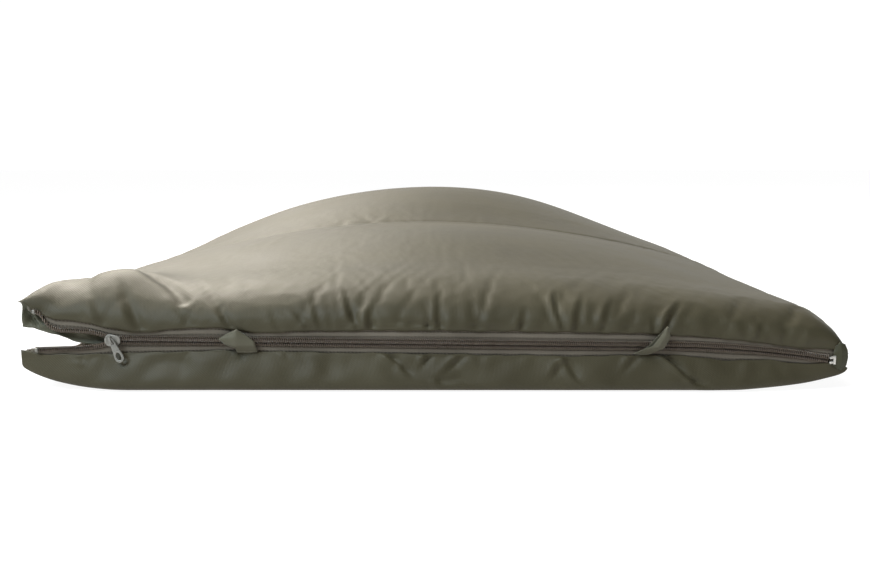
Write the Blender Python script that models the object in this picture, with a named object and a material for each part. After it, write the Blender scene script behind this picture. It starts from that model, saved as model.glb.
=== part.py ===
"""A padded, rectangular bivy sack lying flat: one quilted lower panel and one quilted upper
panel, joined by a folded seam along the right side, closed by one zip across the foot and one
two-way zip along the left side, and open at the head.

The origin is on the ground under the middle of the sack. +X runs across it, from the side zip
to the folded seam, +Y runs from the foot to the head, and +Z is up. All sizes are in metres.
"""

import math

import bmesh
import bpy
from mathutils import Vector

# Driving dimensions of the sack
HALF_WIDTH = 0.400
HALF_LENGTH = 1.000
PAD_THICKNESS = 0.042
SKIN_OUT = 0.0020
SKIN = 0.001
GAP = 0.0005
SOLID_GAP = 0.0003
BATTING_INSET = 0.0030
SEAM_ALLOWANCE = 0.014

# Height of the upper face along the middle line: distance from the foot, height
OUTER_CREST = [
    (0.00, 0.090), (0.10, 0.110), (0.20, 0.127), (0.29, 0.136), (0.365, 0.138),
    (0.45, 0.157), (0.57, 0.174), (0.76, 0.166), (1.20, 0.149), (1.60, 0.133), (2.01, 0.114),
]
# Height of the upper panel's inner face along the same line
INNER_CREST = [
    (0.00, 0.058), (0.20, 0.086), (0.57, 0.126), (1.20, 0.112), (1.60, 0.102), (2.01, 0.094),
]
LEFT_SHOULDER = 0.086
RIGHT_SHOULDER = 0.070
DOME_POWER = 1.15
FOOT_ROUNDING = 0.070
SIDE_ROUNDING = 0.060
UNDER_FOOT_ROUNDING = 0.020
UNDER_SIDE_ROUNDING = 0.080
LINING_ROUNDING = 0.150

# Zips: the foot chain falls slightly towards the folded seam, and droops before it
ZIP_HEIGHT = 0.0462
ZIP_SLOPE = -0.0115
DROOP_START = 0.235
DROOP = 0.50
RIM = 0.0095
CHAIN_GAP = 0.0009
COIL_WIDTH = 0.0029
COIL_FRONT = 0.0032
COIL_BACK = 0.0007
TAPE_HALF_THICKNESS = 0.0004
TAPE_START = 0.0012
TAPE_END = 0.0090
CORNER_CLEARANCE = 0.010
STOP_INSET = 0.004
STOP_OUT = 0.0012
STOP_HALF_SIZE = (0.0022, 0.0008, 0.0019)
BOTTOM_STOP_X = 0.3835
BOTTOM_STOP_OUT = 0.0016
BOTTOM_STOP_HALF_SIZE = (0.0025, 0.0010, 0.0050)
DRAFT_TUBE_RADIUS = 0.0046
DRAFT_TUBE_INSET = 0.0110
DRAFT_TUBE_HANG = 0.0034

# The mouth that stands open at the corner where both zips meet
MOUTH_X = -0.3125
MOUTH_Y = -0.7645
MOUTH_RISE = 0.0195
MOUTH_DROP = 0.0115
MOUTH_POWER_ACROSS = 1.6
MOUTH_POWER_ALONG = 1.5

# The folded seam, on which the upper panel turns
HINGE_X = 0.406
HINGE_Z = ZIP_HEIGHT + ZIP_SLOPE * HINGE_X - DROOP * (HINGE_X - DROOP_START) ** 2
SEAM_BINDING_RADIUS = 0.0025
HEAD_BINDING = 0.0015
HEAD_BINDING_TRIM = 0.0012

# Ribbon loops in the foot seam
RIBBON_THICKNESS = 0.0006
RIBBON_SEWN_BELOW = 0.0045

# Sliders and pulls
FOOT_SLIDER_X = -0.3115
SIDE_FOOT_SLIDER_Y = -0.7600
SIDE_HEAD_SLIDER_Y = 0.9700
SLIDER_LENGTH = 0.0155
SLIDER_HALF_HEIGHT = 0.0060
SLIDER_TAIL_HALF_HEIGHT = 0.0048
SLIDER_PLATE = 0.0025
FRONT_PLATE_BACK = 0.0037
BACK_PLATE_FRONT = -0.0009
BACK_PLATE = 0.0015
POST_HALF_WIDTH = 0.0006
POST_LENGTH = 0.0040
BAIL_RADIUS = 0.0008
BAIL_HALF_SPAN = 0.0035
BAIL_RISE = 0.0034
PULL_WIDTH = 0.0090
PULL_LENGTH = 0.0250
PULL_THICKNESS = 0.0014
PULL_HOLE_RADIUS = 0.0030
PULL_LEAN = math.radians(20.0)

SACK = bpy.data.collections.new("bivy_sack")
GUIDES = bpy.data.collections.new("guides")


def clear_scene():
    """Removes what a new file starts with, and adds the two collections."""
    for old in list(bpy.data.objects):
        bpy.data.objects.remove(old, do_unlink=True)
    bpy.context.scene.collection.children.link(SACK)
    bpy.context.scene.collection.children.link(GUIDES)


def material(name, colour, roughness, metallic=0.0):
    """A plain material with the part's colour, roughness and metallic value."""
    made = bpy.data.materials.new(name)
    made.use_nodes = True
    shader = made.node_tree.nodes["Principled BSDF"]
    shader.inputs["Base Color"].default_value = (*colour, 1.0)
    shader.inputs["Roughness"].default_value = roughness
    shader.inputs["Metallic"].default_value = metallic
    return made


def add_piece(name, data, finish, origin=(0.0, 0.0, 0.0), parent=None):
    """Puts one named piece in the sack, with its own copy of a finish."""
    piece = bpy.data.objects.new(name, data)
    own = finish.copy()
    own.name = name
    piece.data.materials.append(own)
    SACK.objects.link(piece)
    piece.location = origin
    if parent is not None:
        piece.parent = parent
        piece.matrix_parent_inverse = parent.matrix_world.inverted()
    return piece


# ---------------------------------------------------------------- the sack's surfaces


def clamp(value):
    return min(1.0, max(0.0, value))


def quarter_round(distance, radius):
    """Height of a rounded edge, from 0 at the edge to 1 one radius in from it."""
    inward = clamp(distance / radius)
    return math.sqrt(1.0 - (1.0 - inward) ** 2)


def smooth_curve(points, at):
    """A smooth line through points (position, height), read at one position."""
    last = len(points) - 1
    at = min(points[last][0], max(points[0][0], at))
    span = max(i for i in range(last) if points[i][0] <= at)
    before, low, high, after = (
        points[max(span - 1, 0)], points[span], points[span + 1], points[min(span + 2, last)],
    )
    width = high[0] - low[0]
    part = (at - low[0]) / width
    slope_low = (high[1] - before[1]) / (high[0] - before[0]) * width
    slope_high = (after[1] - low[1]) / (after[0] - low[0]) * width
    cube, square = part ** 3, part ** 2
    return (
        (2 * cube - 3 * square + 1) * low[1] + (cube - 2 * square + part) * slope_low
        + (3 * square - 2 * cube) * high[1] + (cube - square) * slope_high
    )


def zip_height(x):
    return ZIP_HEIGHT + ZIP_SLOPE * x - DROOP * max(0.0, x - DROOP_START) ** 2


def mouth(x, y):
    """How far the mouth stands open: 1 at the corner, 0 from each slider on."""
    across = clamp((MOUTH_X - x) / (MOUTH_X + HALF_WIDTH))
    along = clamp((MOUTH_Y - y) / (MOUTH_Y + HALF_LENGTH))
    return across ** MOUTH_POWER_ACROSS * along ** MOUTH_POWER_ALONG


def upper_chain(x, y):
    """Height of the line where the upper half of the chain would meet the lower one."""
    return zip_height(x) + MOUTH_RISE * mouth(x, y)


def lower_chain(x, y):
    return zip_height(x) - MOUTH_DROP * mouth(x, y)


def dome(x):
    """How the upper panel's height falls off from the middle line to the sides."""
    return max(0.0, 1.0 - (x / HALF_WIDTH) ** 2) ** DOME_POWER


def drawn_in(x, y, edge, inward):
    """The place on an outline that much smaller, and its distances from the side and foot."""
    foot_edge = HALF_LENGTH + edge - HALF_WIDTH
    shrink = 1.0 - inward / (foot_edge + HALF_LENGTH)
    x *= 1.0 - inward / edge
    y = HALF_LENGTH - (HALF_LENGTH - y) * shrink
    return x, y, edge - inward - abs(x), y + foot_edge - inward


def top_outer(x, y, inward=0.0):
    """The upper panel's outer face, or the same face moved in towards the sleeper."""
    x, y, side, foot = drawn_in(x, y, HALF_WIDTH + SKIN_OUT, inward)
    rim = zip_height(x) + RIM
    shoulder = LEFT_SHOULDER + (RIGHT_SHOULDER - LEFT_SHOULDER) * clamp(0.5 + x / HALF_WIDTH / 2)
    crest = smooth_curve(OUTER_CREST, y + HALF_LENGTH)
    height = shoulder + (crest - shoulder) * dome(x) - inward
    round_in = quarter_round(side, SIDE_ROUNDING) * quarter_round(foot, FOOT_ROUNDING)
    return Vector((x, y, rim + (height - rim) * round_in + MOUTH_RISE * mouth(x, y)))


def top_inner(x, y, upward=0.0):
    """The upper panel's inner face, above the sleeping space, or the same face moved up."""
    rim = zip_height(x) + RIM + SKIN
    crest = smooth_curve(INNER_CREST, y + HALF_LENGTH)
    lift = max(0.0, crest - rim) * dome(x)
    return Vector((x, y, rim + lift + MOUTH_RISE * mouth(x, y) + upward))


def low_outer(x, y, inward=0.0):
    """The lower panel's underside, flat on the ground between its rounded edges."""
    x, y, side, foot = drawn_in(x, y, HALF_WIDTH + SKIN_OUT, inward)
    rim = lower_chain(x, y) - RIM
    side_in = quarter_round(side, UNDER_SIDE_ROUNDING)
    foot_in = quarter_round(foot, UNDER_FOOT_ROUNDING)
    return Vector((x, y, rim - (rim - inward) * side_in * foot_in))


def low_inner(x, y, upward=0.0):
    """The lower panel's top face, on which the sleeper lies."""
    x, y, side, foot = drawn_in(x, y, HALF_WIDTH - SEAM_ALLOWANCE, 0.0)
    rim = lower_chain(x, y) - RIM - SKIN
    round_in = quarter_round(side, LINING_ROUNDING) * quarter_round(foot, LINING_ROUNDING)
    return Vector((x, y, rim + (PAD_THICKNESS - rim) * round_in + upward))


# ---------------------------------------------------------------- building blocks


def spaced(low, high, rounding_low, rounding_high, inner, steps=5):
    """Places from low to high, closer together where an edge is rounded."""
    places = [
        low + rounding_low * (1.0 - math.cos(math.pi / 2 * i / steps)) for i in range(steps)
    ]
    start, end = low + rounding_low, high - rounding_high
    places += [start + (end - start) * i / inner for i in range(inner + 1)]
    if rounding_high > 0.0:
        places += [
            high - rounding_high * (1.0 - math.sin(math.pi / 2 * i / steps))
            for i in range(1, steps + 1)
        ]
    return places


def slab_mesh(name, across, along, first_face, second_face):
    """One closed solid between two faces, each read at a grid of places across and along."""
    cells_x, cells_y = len(across) - 1, len(along) - 1
    work = bmesh.new()
    bmesh.ops.create_grid(work, x_segments=cells_x, y_segments=cells_y, size=1.0)
    base = set(work.verts)
    bmesh.ops.extrude_face_region(work, geom=list(work.faces), use_keep_orig=True)
    for vert in work.verts:
        x = across[round((vert.co.x + 1.0) / 2.0 * cells_x)]
        y = along[round((vert.co.y + 1.0) / 2.0 * cells_y)]
        vert.co = first_face(x, y) if vert in base else second_face(x, y)
    return finished(name, work)


def finished(name, work):
    """Turns a working mesh into one whose faces all point out."""
    bmesh.ops.recalc_face_normals(work, faces=list(work.faces))
    mesh = bpy.data.meshes.new(name)
    work.to_mesh(mesh)
    work.free()
    if sum(_signed_volume(mesh)) < 0.0:
        mesh.flip_normals()
    mesh.shade_smooth()
    mesh.set_sharp_from_angle(angle=math.radians(40.0))
    return mesh


def _signed_volume(mesh):
    mesh.calc_loop_triangles()
    for triangle in mesh.loop_triangles:
        a, b, c = (mesh.vertices[i].co for i in triangle.vertices)
        yield a.dot(b.cross(c)) / 6.0


def box_mesh(name, low, high, bevel=0.0):
    """A box between two corners, with its edges rounded off."""
    low, high = Vector(low), Vector(high)
    work = bmesh.new()
    bmesh.ops.create_cube(work, size=1.0)
    for vert in work.verts:
        vert.co = Vector(
            (low[i] + high[i]) / 2 + vert.co[i] * (high[i] - low[i]) for i in range(3)
        )
    if bevel > 0.0:
        bmesh.ops.bevel(
            work, geom=list(work.edges), offset=bevel, segments=2, profile=0.5, affect="EDGES"
        )
    return finished(name, work)


def tube(name, points, radius, finish):
    """A round cord of fabric through the given points, with closed ends."""
    curve = bpy.data.curves.new(name, "CURVE")
    curve.dimensions = "3D"
    curve.bevel_depth = radius
    curve.bevel_resolution = 2
    curve.use_fill_caps = True
    line = curve.splines.new("POLY")
    line.points.add(len(points) - 1)
    for slot, point in zip(line.points, points):
        slot.co = (*point, 1.0)
    return add_piece(name, curve, finish)


def steps_between(low, high, count):
    return [low + (high - low) * i / count for i in range(count + 1)]


# ---------------------------------------------------------------- finishes

SHELL = material("shell", (0.165, 0.150, 0.105), 0.48)
LINING = material("lining", (0.055, 0.050, 0.040), 0.60)
BATTING = material("batting", (0.80, 0.79, 0.76), 0.95)
TAPE = material("tape", (0.120, 0.105, 0.085), 0.80)
COIL = material("coil", (0.035, 0.028, 0.020), 0.45)
METAL = material("metal", (0.28, 0.28, 0.25), 0.35, 1.0)
STOP = material("stop", (0.62, 0.60, 0.55), 0.35, 1.0)
RIBBON = material("ribbon", (0.110, 0.100, 0.065), 0.70)
BINDING = material("binding", (0.120, 0.108, 0.075), 0.65)


# ---------------------------------------------------------------- padded panels


def shifted(face, amount):
    """A face moved that far, towards the sleeper or upwards as the face says."""
    return lambda x, y: face(x, y, amount)


def make_panel(names, faces, roundings, cells, inner_shift, lining_shift):
    """A padded panel of three pieces: its shell, its lining and the batting between them.

    The inner face is smaller than the outer one by the seam allowance, so its places are
    matched to the outer face's one by one.
    """
    shell_name, lining_name, batting_name = names
    outer, inner = faces
    side_rounding, foot_rounding = roundings
    grids = []
    for reach in (SKIN_OUT, -SEAM_ALLOWANCE):
        edge = HALF_WIDTH + reach
        across = spaced(-edge, edge, side_rounding, side_rounding, cells[0])
        along = spaced(-HALF_LENGTH - reach, HALF_LENGTH, foot_rounding, 0.0, cells[1])
        grids.append((across, along))
    (across, along), (inner_across, inner_along) = grids
    column = dict(zip(across, inner_across))
    row = dict(zip(along, inner_along))

    def facing(x, y):
        return inner(column[x], row[y], inner_shift)

    shell = slab_mesh(shell_name, across, along, outer, shifted(outer, SKIN))
    add_piece(shell_name, shell, SHELL)
    batting = slab_mesh(batting_name, across, along, shifted(outer, BATTING_INSET), facing)
    add_piece(batting_name, batting, BATTING)
    lining = slab_mesh(
        lining_name, inner_across, inner_along, inner, shifted(inner, lining_shift)
    )
    add_piece(lining_name, lining, LINING)


def make_panels():
    make_panel(
        ("top_shell", "top_lining", "top_batting"), (top_outer, top_inner),
        (SIDE_ROUNDING, FOOT_ROUNDING), (6, 12), GAP, -SKIN,
    )
    make_panel(
        ("bottom_shell", "bottom_lining", "bottom_batting"), (low_outer, low_inner),
        (UNDER_SIDE_ROUNDING, UNDER_FOOT_ROUNDING), (2, 7), -GAP - SKIN, -SKIN,
    )


# ---------------------------------------------------------------- zips


def foot_place(chain, x, height, out):
    """A place on the foot zip: so far across, so far above the chain line, so far out."""
    return Vector((x, -HALF_LENGTH - out, chain(x, -HALF_LENGTH) + height))


def side_place(chain, y, height, out):
    return Vector((-HALF_WIDTH - out, y, chain(-HALF_WIDTH, y) + height))


def zip_strip(name, place, chain, stations, heights, outs, finish):
    """A straight-sided strip of the zip that follows its chain line."""

    def front(station, height):
        return place(chain, station, height, outs[0])

    def back(station, height):
        return place(chain, station, height, outs[1])

    mesh = slab_mesh(name, stations, sorted(heights), front, back)
    return add_piece(name, mesh, finish)


def make_zip_half(prefix, place, chain, stations, up):
    """One tape of a zip and its coil. up is 1 for the upper half and -1 for the lower one."""
    tape = [up * TAPE_START, up * TAPE_END]
    coil = [up * CHAIN_GAP, up * (CHAIN_GAP + COIL_WIDTH)]
    thick = (TAPE_HALF_THICKNESS, -TAPE_HALF_THICKNESS)
    zip_strip(prefix + "_tape", place, chain, stations, tape, thick, TAPE)
    zip_strip(prefix + "_coil", place, chain, stations, coil, (COIL_FRONT, COIL_BACK), COIL)


def make_stop(name, place, chain, station, up):
    """A small metal stop clamped over the end of one coil."""
    centre = place(chain, station, up * (CHAIN_GAP + COIL_WIDTH / 2), COIL_FRONT + STOP_OUT)
    along, out, high = STOP_HALF_SIZE
    size = Vector((along, out, high) if place is foot_place else (out, along, high))
    mesh = box_mesh(name, centre - size, centre + size, STOP_OUT / 3)
    add_piece(name, mesh, STOP)


def make_zips():
    foot_start = -HALF_WIDTH + CORNER_CLEARANCE
    foot_end = HALF_WIDTH - CORNER_CLEARANCE
    foot_stations = steps_between(foot_start, MOUTH_X, 5)
    foot_stations += [DROOP_START] + steps_between(DROOP_START, foot_end, 5)[1:]
    side_start = -HALF_LENGTH + CORNER_CLEARANCE
    side_end = HALF_LENGTH - CORNER_CLEARANCE
    side_stations = steps_between(side_start, MOUTH_Y, 7) + steps_between(MOUTH_Y, side_end, 6)[1:]
    for chain, word, up in ((upper_chain, "upper", 1), (lower_chain, "lower", -1)):
        make_zip_half(f"foot_zip_{word}", foot_place, chain, foot_stations, up)
        make_zip_half(f"side_zip_{word}", side_place, chain, side_stations, up)
        make_stop(f"foot_zip_{word}_stop", foot_place, chain, foot_start + STOP_INSET, up)
        make_stop(f"side_zip_{word}_foot_stop", side_place, chain, side_start + STOP_INSET, up)
        make_stop(f"side_zip_{word}_head_stop", side_place, chain, side_end - STOP_INSET, up)

    name = "foot_zip_bottom_stop"
    bottom = foot_place(lower_chain, BOTTOM_STOP_X, 0.0, COIL_FRONT + BOTTOM_STOP_OUT)
    size = Vector(BOTTOM_STOP_HALF_SIZE)
    add_piece(name, box_mesh(name, bottom - size, bottom + size, BOTTOM_STOP_OUT / 3), STOP)


def make_draft_tubes():
    """The soft tubes that hang behind each chain and keep draughts out."""
    foot_y = -HALF_LENGTH + DRAFT_TUBE_INSET
    foot_line = [
        (x, foot_y, upper_chain(x, foot_y) + DRAFT_TUBE_HANG)
        for x in steps_between(-0.370, MOUTH_X, 4) + steps_between(DROOP_START, 0.372, 4)
    ]
    tube("foot_draft_tube", foot_line, DRAFT_TUBE_RADIUS, LINING)
    side_x = -HALF_WIDTH + DRAFT_TUBE_INSET
    side_line = [
        (side_x, y, upper_chain(side_x, y) + DRAFT_TUBE_HANG)
        for y in steps_between(-0.970, MOUTH_Y, 5) + steps_between(MOUTH_Y, 0.960, 3)[1:]
    ]
    tube("side_draft_tube", side_line, DRAFT_TUBE_RADIUS, LINING)


# ---------------------------------------------------------------- edges and loops


def make_bindings():
    """The folded seam's binding on the right, and a binding on each panel's head edge."""
    ends = [(HINGE_X, side * (HALF_LENGTH - 0.005), HINGE_Z) for side in (-1, 1)]
    tube("side_seam_binding", ends, SEAM_BINDING_RADIUS, BINDING)

    reach = HALF_WIDTH - 0.012
    across = steps_between(-reach, reach, 12)
    y = HALF_LENGTH
    bands = {
        "head_lower_binding": (low_outer, low_inner),
        "head_upper_binding": (top_inner, top_outer),
    }
    for name, (under, over) in bands.items():

        def edge(x, part, out, under=under, over=over):
            shown = min(abs(x), HALF_WIDTH - SEAM_ALLOWANCE) * (1 if x > 0 else -1)
            low = under(shown, y).z + HEAD_BINDING_TRIM
            high = over(shown, y).z - HEAD_BINDING_TRIM
            return Vector((x, y + out, low + (high - low) * part))

        def near(x, part, edge=edge):
            return edge(x, part, GAP)

        def far(x, part, edge=edge):
            return edge(x, part, GAP + HEAD_BINDING)

        add_piece(name, slab_mesh(name, across, [0.0, 1.0], near, far), BINDING)


def make_ribbon_loop(name, x, width, rise, skew):
    """A ribbon folded into a standing loop and sewn into the foot seam by both its ends."""
    base = foot_place(lower_chain, x, -RIM - RIBBON_SEWN_BELOW, 0.0).z
    # Out from the zip's plane and up from the seam, from the front end over the fold and back
    route = [
        (0.0028, -0.0014), (0.0070, 0.0006), (0.0088, 0.0060), (0.0092, 0.6 * rise),
        (0.0086, 0.93 * rise), (0.0072, rise), (0.0058, 0.93 * rise), (0.0052, 0.6 * rise),
        (0.0052, 0.0070), (0.0044, 0.0024), (0.0028, 0.0010),
    ]

    def side(at, along, inward):
        index = round(along)
        before, after = route[max(index - 1, 0)], route[min(index + 1, len(route) - 1)]
        run = Vector((after[0] - before[0], after[1] - before[1])).normalized()
        out = route[index][0] - run.y * inward
        height = route[index][1] + run.x * inward
        return Vector((x + at + skew * height / rise, -HALF_LENGTH - out, base + height))

    def outer(at, along):
        return side(at, along, 0.0)

    def inner(at, along):
        return side(at, along, RIBBON_THICKNESS)

    places = [float(i) for i in range(len(route))]
    mesh = slab_mesh(name, [-width / 2, 0.0, width / 2], places, outer, inner)
    add_piece(name, mesh, RIBBON)


# ---------------------------------------------------------------- sliders


def joined(name, meshes):
    """One mesh made of several overlapping ones by Boolean unions."""
    bodies = []
    for index, mesh in enumerate(meshes):
        body = bpy.data.objects.new(f"{name}_blank_{index}", mesh)
        GUIDES.objects.link(body)
        body.hide_render = True
        body.display_type = "WIRE"
        bodies.append(body)
    first = bodies[0]
    for other in bodies[1:]:
        union = first.modifiers.new("union", "BOOLEAN")
        union.operation = "UNION"
        union.solver = "EXACT"
        union.object = other
    view = bpy.context.evaluated_depsgraph_get()
    made = bpy.data.meshes.new_from_object(first.evaluated_get(view))
    for body in bodies:
        bpy.data.objects.remove(body, do_unlink=True)
    made.name = name
    made.shade_smooth()
    made.set_sharp_from_angle(angle=math.radians(35.0))
    return made


def slider_plate(name, back, front):
    """A slider's plate, wide at its shoulders and narrower at its tail, from back to front."""
    half = SLIDER_LENGTH / 2
    mesh = box_mesh(
        name,
        (-half, -front, -SLIDER_HALF_HEIGHT),
        (half, -back, SLIDER_HALF_HEIGHT),
        0.0006,
    )
    for vert in mesh.vertices:
        toward_tail = clamp(vert.co.x / half)
        shrink = SLIDER_TAIL_HALF_HEIGHT / SLIDER_HALF_HEIGHT
        vert.co.z *= 1.0 - (1.0 - shrink) * toward_tail
    return mesh


def slider_mesh(name):
    """The slider's body: two plates, the post that parts the chain, and one flange.

    It is made about its own middle, with its nose at -X, its front at -Y and up at +Z.
    """
    nose = -SLIDER_LENGTH / 2 + 0.0008
    plate_overlap = 0.0006
    front = slider_plate(name, FRONT_PLATE_BACK, FRONT_PLATE_BACK + SLIDER_PLATE)
    back = slider_plate(name, BACK_PLATE_FRONT - BACK_PLATE, BACK_PLATE_FRONT)
    post = box_mesh(
        name,
        (nose, -FRONT_PLATE_BACK - plate_overlap, -POST_HALF_WIDTH),
        (nose + POST_LENGTH, -BACK_PLATE_FRONT + plate_overlap, POST_HALF_WIDTH),
    )
    flange = box_mesh(
        name,
        (-SLIDER_LENGTH / 2 + 0.003, -FRONT_PLATE_BACK - plate_overlap, -0.0048),
        (SLIDER_LENGTH / 2 - 0.003, -0.0009, -0.0041),
    )
    return joined(name, [front, back, post, flange])


def bail_points():
    """The arch over the slider's front, in the slider's own axes, from foot to foot."""
    base = FRONT_PLATE_BACK + SLIDER_PLATE + SOLID_GAP
    top = base + BAIL_RISE
    corner = 0.0012
    span = BAIL_HALF_SPAN
    line = [(-span, base)]
    bends = ((-span, -1), (span, 1))
    for end, sign in bends:
        turns = steps_between(0.0, math.pi / 2, 3)
        if sign > 0:
            turns = turns[::-1]
        for turn in turns:
            along = end - sign * corner * (1.0 - math.cos(turn))
            line.append((along, top - corner + corner * math.sin(turn)))
    line.append((span, base))
    return line


def pull_mesh(name):
    """The pull tab, hanging along -Z from an eye round the bail, with a round hole at its end.

    It is made about the bar at the top of its eye, which is its turning axis.
    """
    bar = 0.0007
    eye_low = -0.0052
    eye_half = 0.0016
    half = PULL_WIDTH / 2
    outline = bpy.data.curves.new(name, "CURVE")
    outline.dimensions = "2D"
    outline.fill_mode = "BOTH"
    outline.extrude = PULL_THICKNESS / 2
    corner = [(-0.0030, bar), (0.0030, bar), (0.0034, -0.0060), (half, -0.0100)]
    round_end = [
        (half * math.cos(a), -PULL_LENGTH + half + half * math.sin(a))
        for a in steps_between(0.0, -math.pi, 10)
    ]
    edge = corner + round_end + [(-half, -0.0100), (-0.0034, -0.0060)]
    eye = [(-eye_half, -bar), (-eye_half, eye_low), (eye_half, eye_low), (eye_half, -bar)]
    hole = [
        (
            PULL_HOLE_RADIUS * math.cos(a),
            -PULL_LENGTH + half + PULL_HOLE_RADIUS * math.sin(a),
        )
        for a in steps_between(0.0, 2 * math.pi, 12)[:-1]
    ]
    for ring in (edge, eye, hole):
        line = outline.splines.new("POLY")
        line.points.add(len(ring) - 1)
        for slot, (x, z) in zip(line.points, ring):
            slot.co = (x, z, 0.0, 1.0)
        line.use_cyclic_u = True
    shape = bpy.data.objects.new(name + "_outline", outline)
    GUIDES.objects.link(shape)
    view = bpy.context.evaluated_depsgraph_get()
    flat = bpy.data.meshes.new_from_object(shape.evaluated_get(view))
    bpy.data.objects.remove(shape, do_unlink=True)
    work = bmesh.new()
    work.from_mesh(flat)
    bmesh.ops.remove_doubles(work, verts=list(work.verts), dist=0.00001)
    for vert in work.verts:
        vert.co = Vector((vert.co.x, vert.co.z, vert.co.y))
    return finished(name, work)


def make_slider(prefix, place, turn, closing, lean):
    """A slider with its bail and pull.

    turn is the angle about +Z that brings the slider's front to the zip's outside. closing is
    1 if the nose points along the zip's negative direction and -1 if it points the other way.
    lean is how far the pull hangs from straight down, towards the slider's tail.
    """
    body = slider_mesh(prefix + "_body")
    for vert in body.vertices:
        vert.co.x *= closing
    if closing < 0:
        body.flip_normals()
    slider = add_piece(prefix + "_body", body, METAL, place)
    slider.rotation_euler.z = turn
    bpy.context.view_layer.update()

    bail_curve = bpy.data.curves.new(prefix + "_bail", "CURVE")
    bail_curve.dimensions = "3D"
    bail_curve.bevel_depth = BAIL_RADIUS
    bail_curve.bevel_resolution = 2
    bail_curve.use_fill_caps = True
    line = bail_curve.splines.new("POLY")
    points = bail_points()
    line.points.add(len(points) - 1)
    for slot, (along, out) in zip(line.points, points):
        across = math.sin(lean) * -along
        slot.co = (across, -out, math.cos(lean) * along, 1.0)
    bail = add_piece(prefix + "_bail", bail_curve, METAL, place)
    bail.rotation_euler.z = turn

    bar_out = FRONT_PLATE_BACK + SLIDER_PLATE + 2 * SOLID_GAP + PULL_THICKNESS / 2
    bar = Vector((0.0, -bar_out, 0.0))
    bar.rotate(bail.rotation_euler)
    axis = bpy.data.objects.new(prefix + "_pull_axis", None)
    axis.location = Vector(place) + bar
    axis.rotation_euler = (0.0, 0.0, turn)
    SACK.objects.link(axis)
    tab = pull_mesh(prefix + "_pull")
    for vert in tab.vertices:
        x, z = vert.co.x, vert.co.z
        vert.co.x = x * math.cos(lean) - z * math.sin(lean)
        vert.co.z = x * math.sin(lean) + z * math.cos(lean)
    pull = add_piece(prefix + "_pull", tab, METAL)
    pull.parent = axis


def make_sliders():
    foot = foot_place(lower_chain, FOOT_SLIDER_X, 0.0, 0.0)
    make_slider("foot_slider", foot, 0.0, 1, PULL_LEAN)
    low = side_place(lower_chain, SIDE_FOOT_SLIDER_Y, 0.0, 0.0)
    make_slider("side_foot_slider", low, -math.pi / 2, -1, 0.0)
    high = side_place(lower_chain, SIDE_HEAD_SLIDER_Y, 0.0, 0.0)
    make_slider("side_head_slider", high, -math.pi / 2, 1, 0.0)


def hang_upper_panel():
    """Parents all that turns with the upper panel to an empty on the folded seam."""
    axis = bpy.data.objects.new("upper_fold_axis", None)
    axis.location = (HINGE_X, 0.0, HINGE_Z)
    SACK.objects.link(axis)
    bpy.context.view_layer.update()
    for piece in SACK.objects:
        name = piece.name
        if name.startswith("top_") or "_upper" in name or name.endswith("draft_tube"):
            piece.parent = axis
            piece.matrix_parent_inverse = axis.matrix_world.inverted()


def build():
    clear_scene()
    make_panels()
    make_zips()
    make_draft_tubes()
    make_bindings()
    hang_upper_panel()
    make_ribbon_loop("ribbon_loop_left", -0.186, 0.020, 0.024, -0.004)
    make_ribbon_loop("ribbon_loop_right", 0.206, 0.018, 0.022, 0.010)
    make_sliders()


build()
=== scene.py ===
"""The looks of the bivy sack: padded panels, zips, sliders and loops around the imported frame.

Same axes as the frame: +X from the side zip to the folded seam, +Y from the zipped foot to the
open head, +Z up, origin on the ground under the middle. All sizes are in metres.
"""

import math

import bmesh
import bpy
import numpy as np
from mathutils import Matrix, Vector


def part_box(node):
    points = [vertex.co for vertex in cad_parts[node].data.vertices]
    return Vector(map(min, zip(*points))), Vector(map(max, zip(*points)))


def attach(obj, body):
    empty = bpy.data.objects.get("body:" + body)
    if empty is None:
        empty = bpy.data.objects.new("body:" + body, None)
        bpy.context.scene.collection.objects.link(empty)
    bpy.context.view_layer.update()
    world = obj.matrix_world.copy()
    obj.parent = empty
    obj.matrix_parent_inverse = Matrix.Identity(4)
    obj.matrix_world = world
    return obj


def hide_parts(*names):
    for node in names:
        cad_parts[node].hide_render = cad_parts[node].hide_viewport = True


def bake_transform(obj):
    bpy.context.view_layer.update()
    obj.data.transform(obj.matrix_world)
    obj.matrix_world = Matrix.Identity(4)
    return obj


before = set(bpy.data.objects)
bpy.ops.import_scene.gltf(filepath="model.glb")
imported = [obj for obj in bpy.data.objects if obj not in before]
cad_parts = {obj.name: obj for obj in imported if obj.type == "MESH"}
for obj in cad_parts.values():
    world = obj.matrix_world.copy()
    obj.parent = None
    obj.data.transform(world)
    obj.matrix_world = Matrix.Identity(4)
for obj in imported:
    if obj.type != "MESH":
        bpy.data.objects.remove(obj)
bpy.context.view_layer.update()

HALF_WIDTH = 0.400
HALF_LENGTH = 1.000
SKIN_OUT = 0.002
EDGE_X = HALF_WIDTH + SKIN_OUT
RIM = 0.0095
PAD_THICKNESS = 0.042
SEAM_ALLOWANCE = 0.014
MOUTH_Y = -0.7645
FOOT_ROUNDING = 0.070
LOWER_ROLL = 0.020
PITCH = 0.00205
FOOT_SLIDER_X = -0.3115
SIDE_FOOT_SLIDER_Y = -0.760
SIDE_HEAD_SLIDER_Y = 0.970
TAPE_THICKNESS = 0.0006
RIBBON_THICKNESS = 0.0006
STITCH_OUT = 0.00045
WIRE_RADIUS = 0.00058
CORE_RADIUS = 0.00070


# ---------------------------------------------------------------- camera, floor, lights


def add_object(name, data):
    made = bpy.data.objects.new(name, data)
    bpy.context.scene.collection.objects.link(made)
    return made


def put(node, **values):
    """Sets a shader node's inputs by their names, with _ for a space."""
    for name, value in values.items():
        node.inputs[name.replace("_", " ")].default_value = value
    return node


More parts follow.
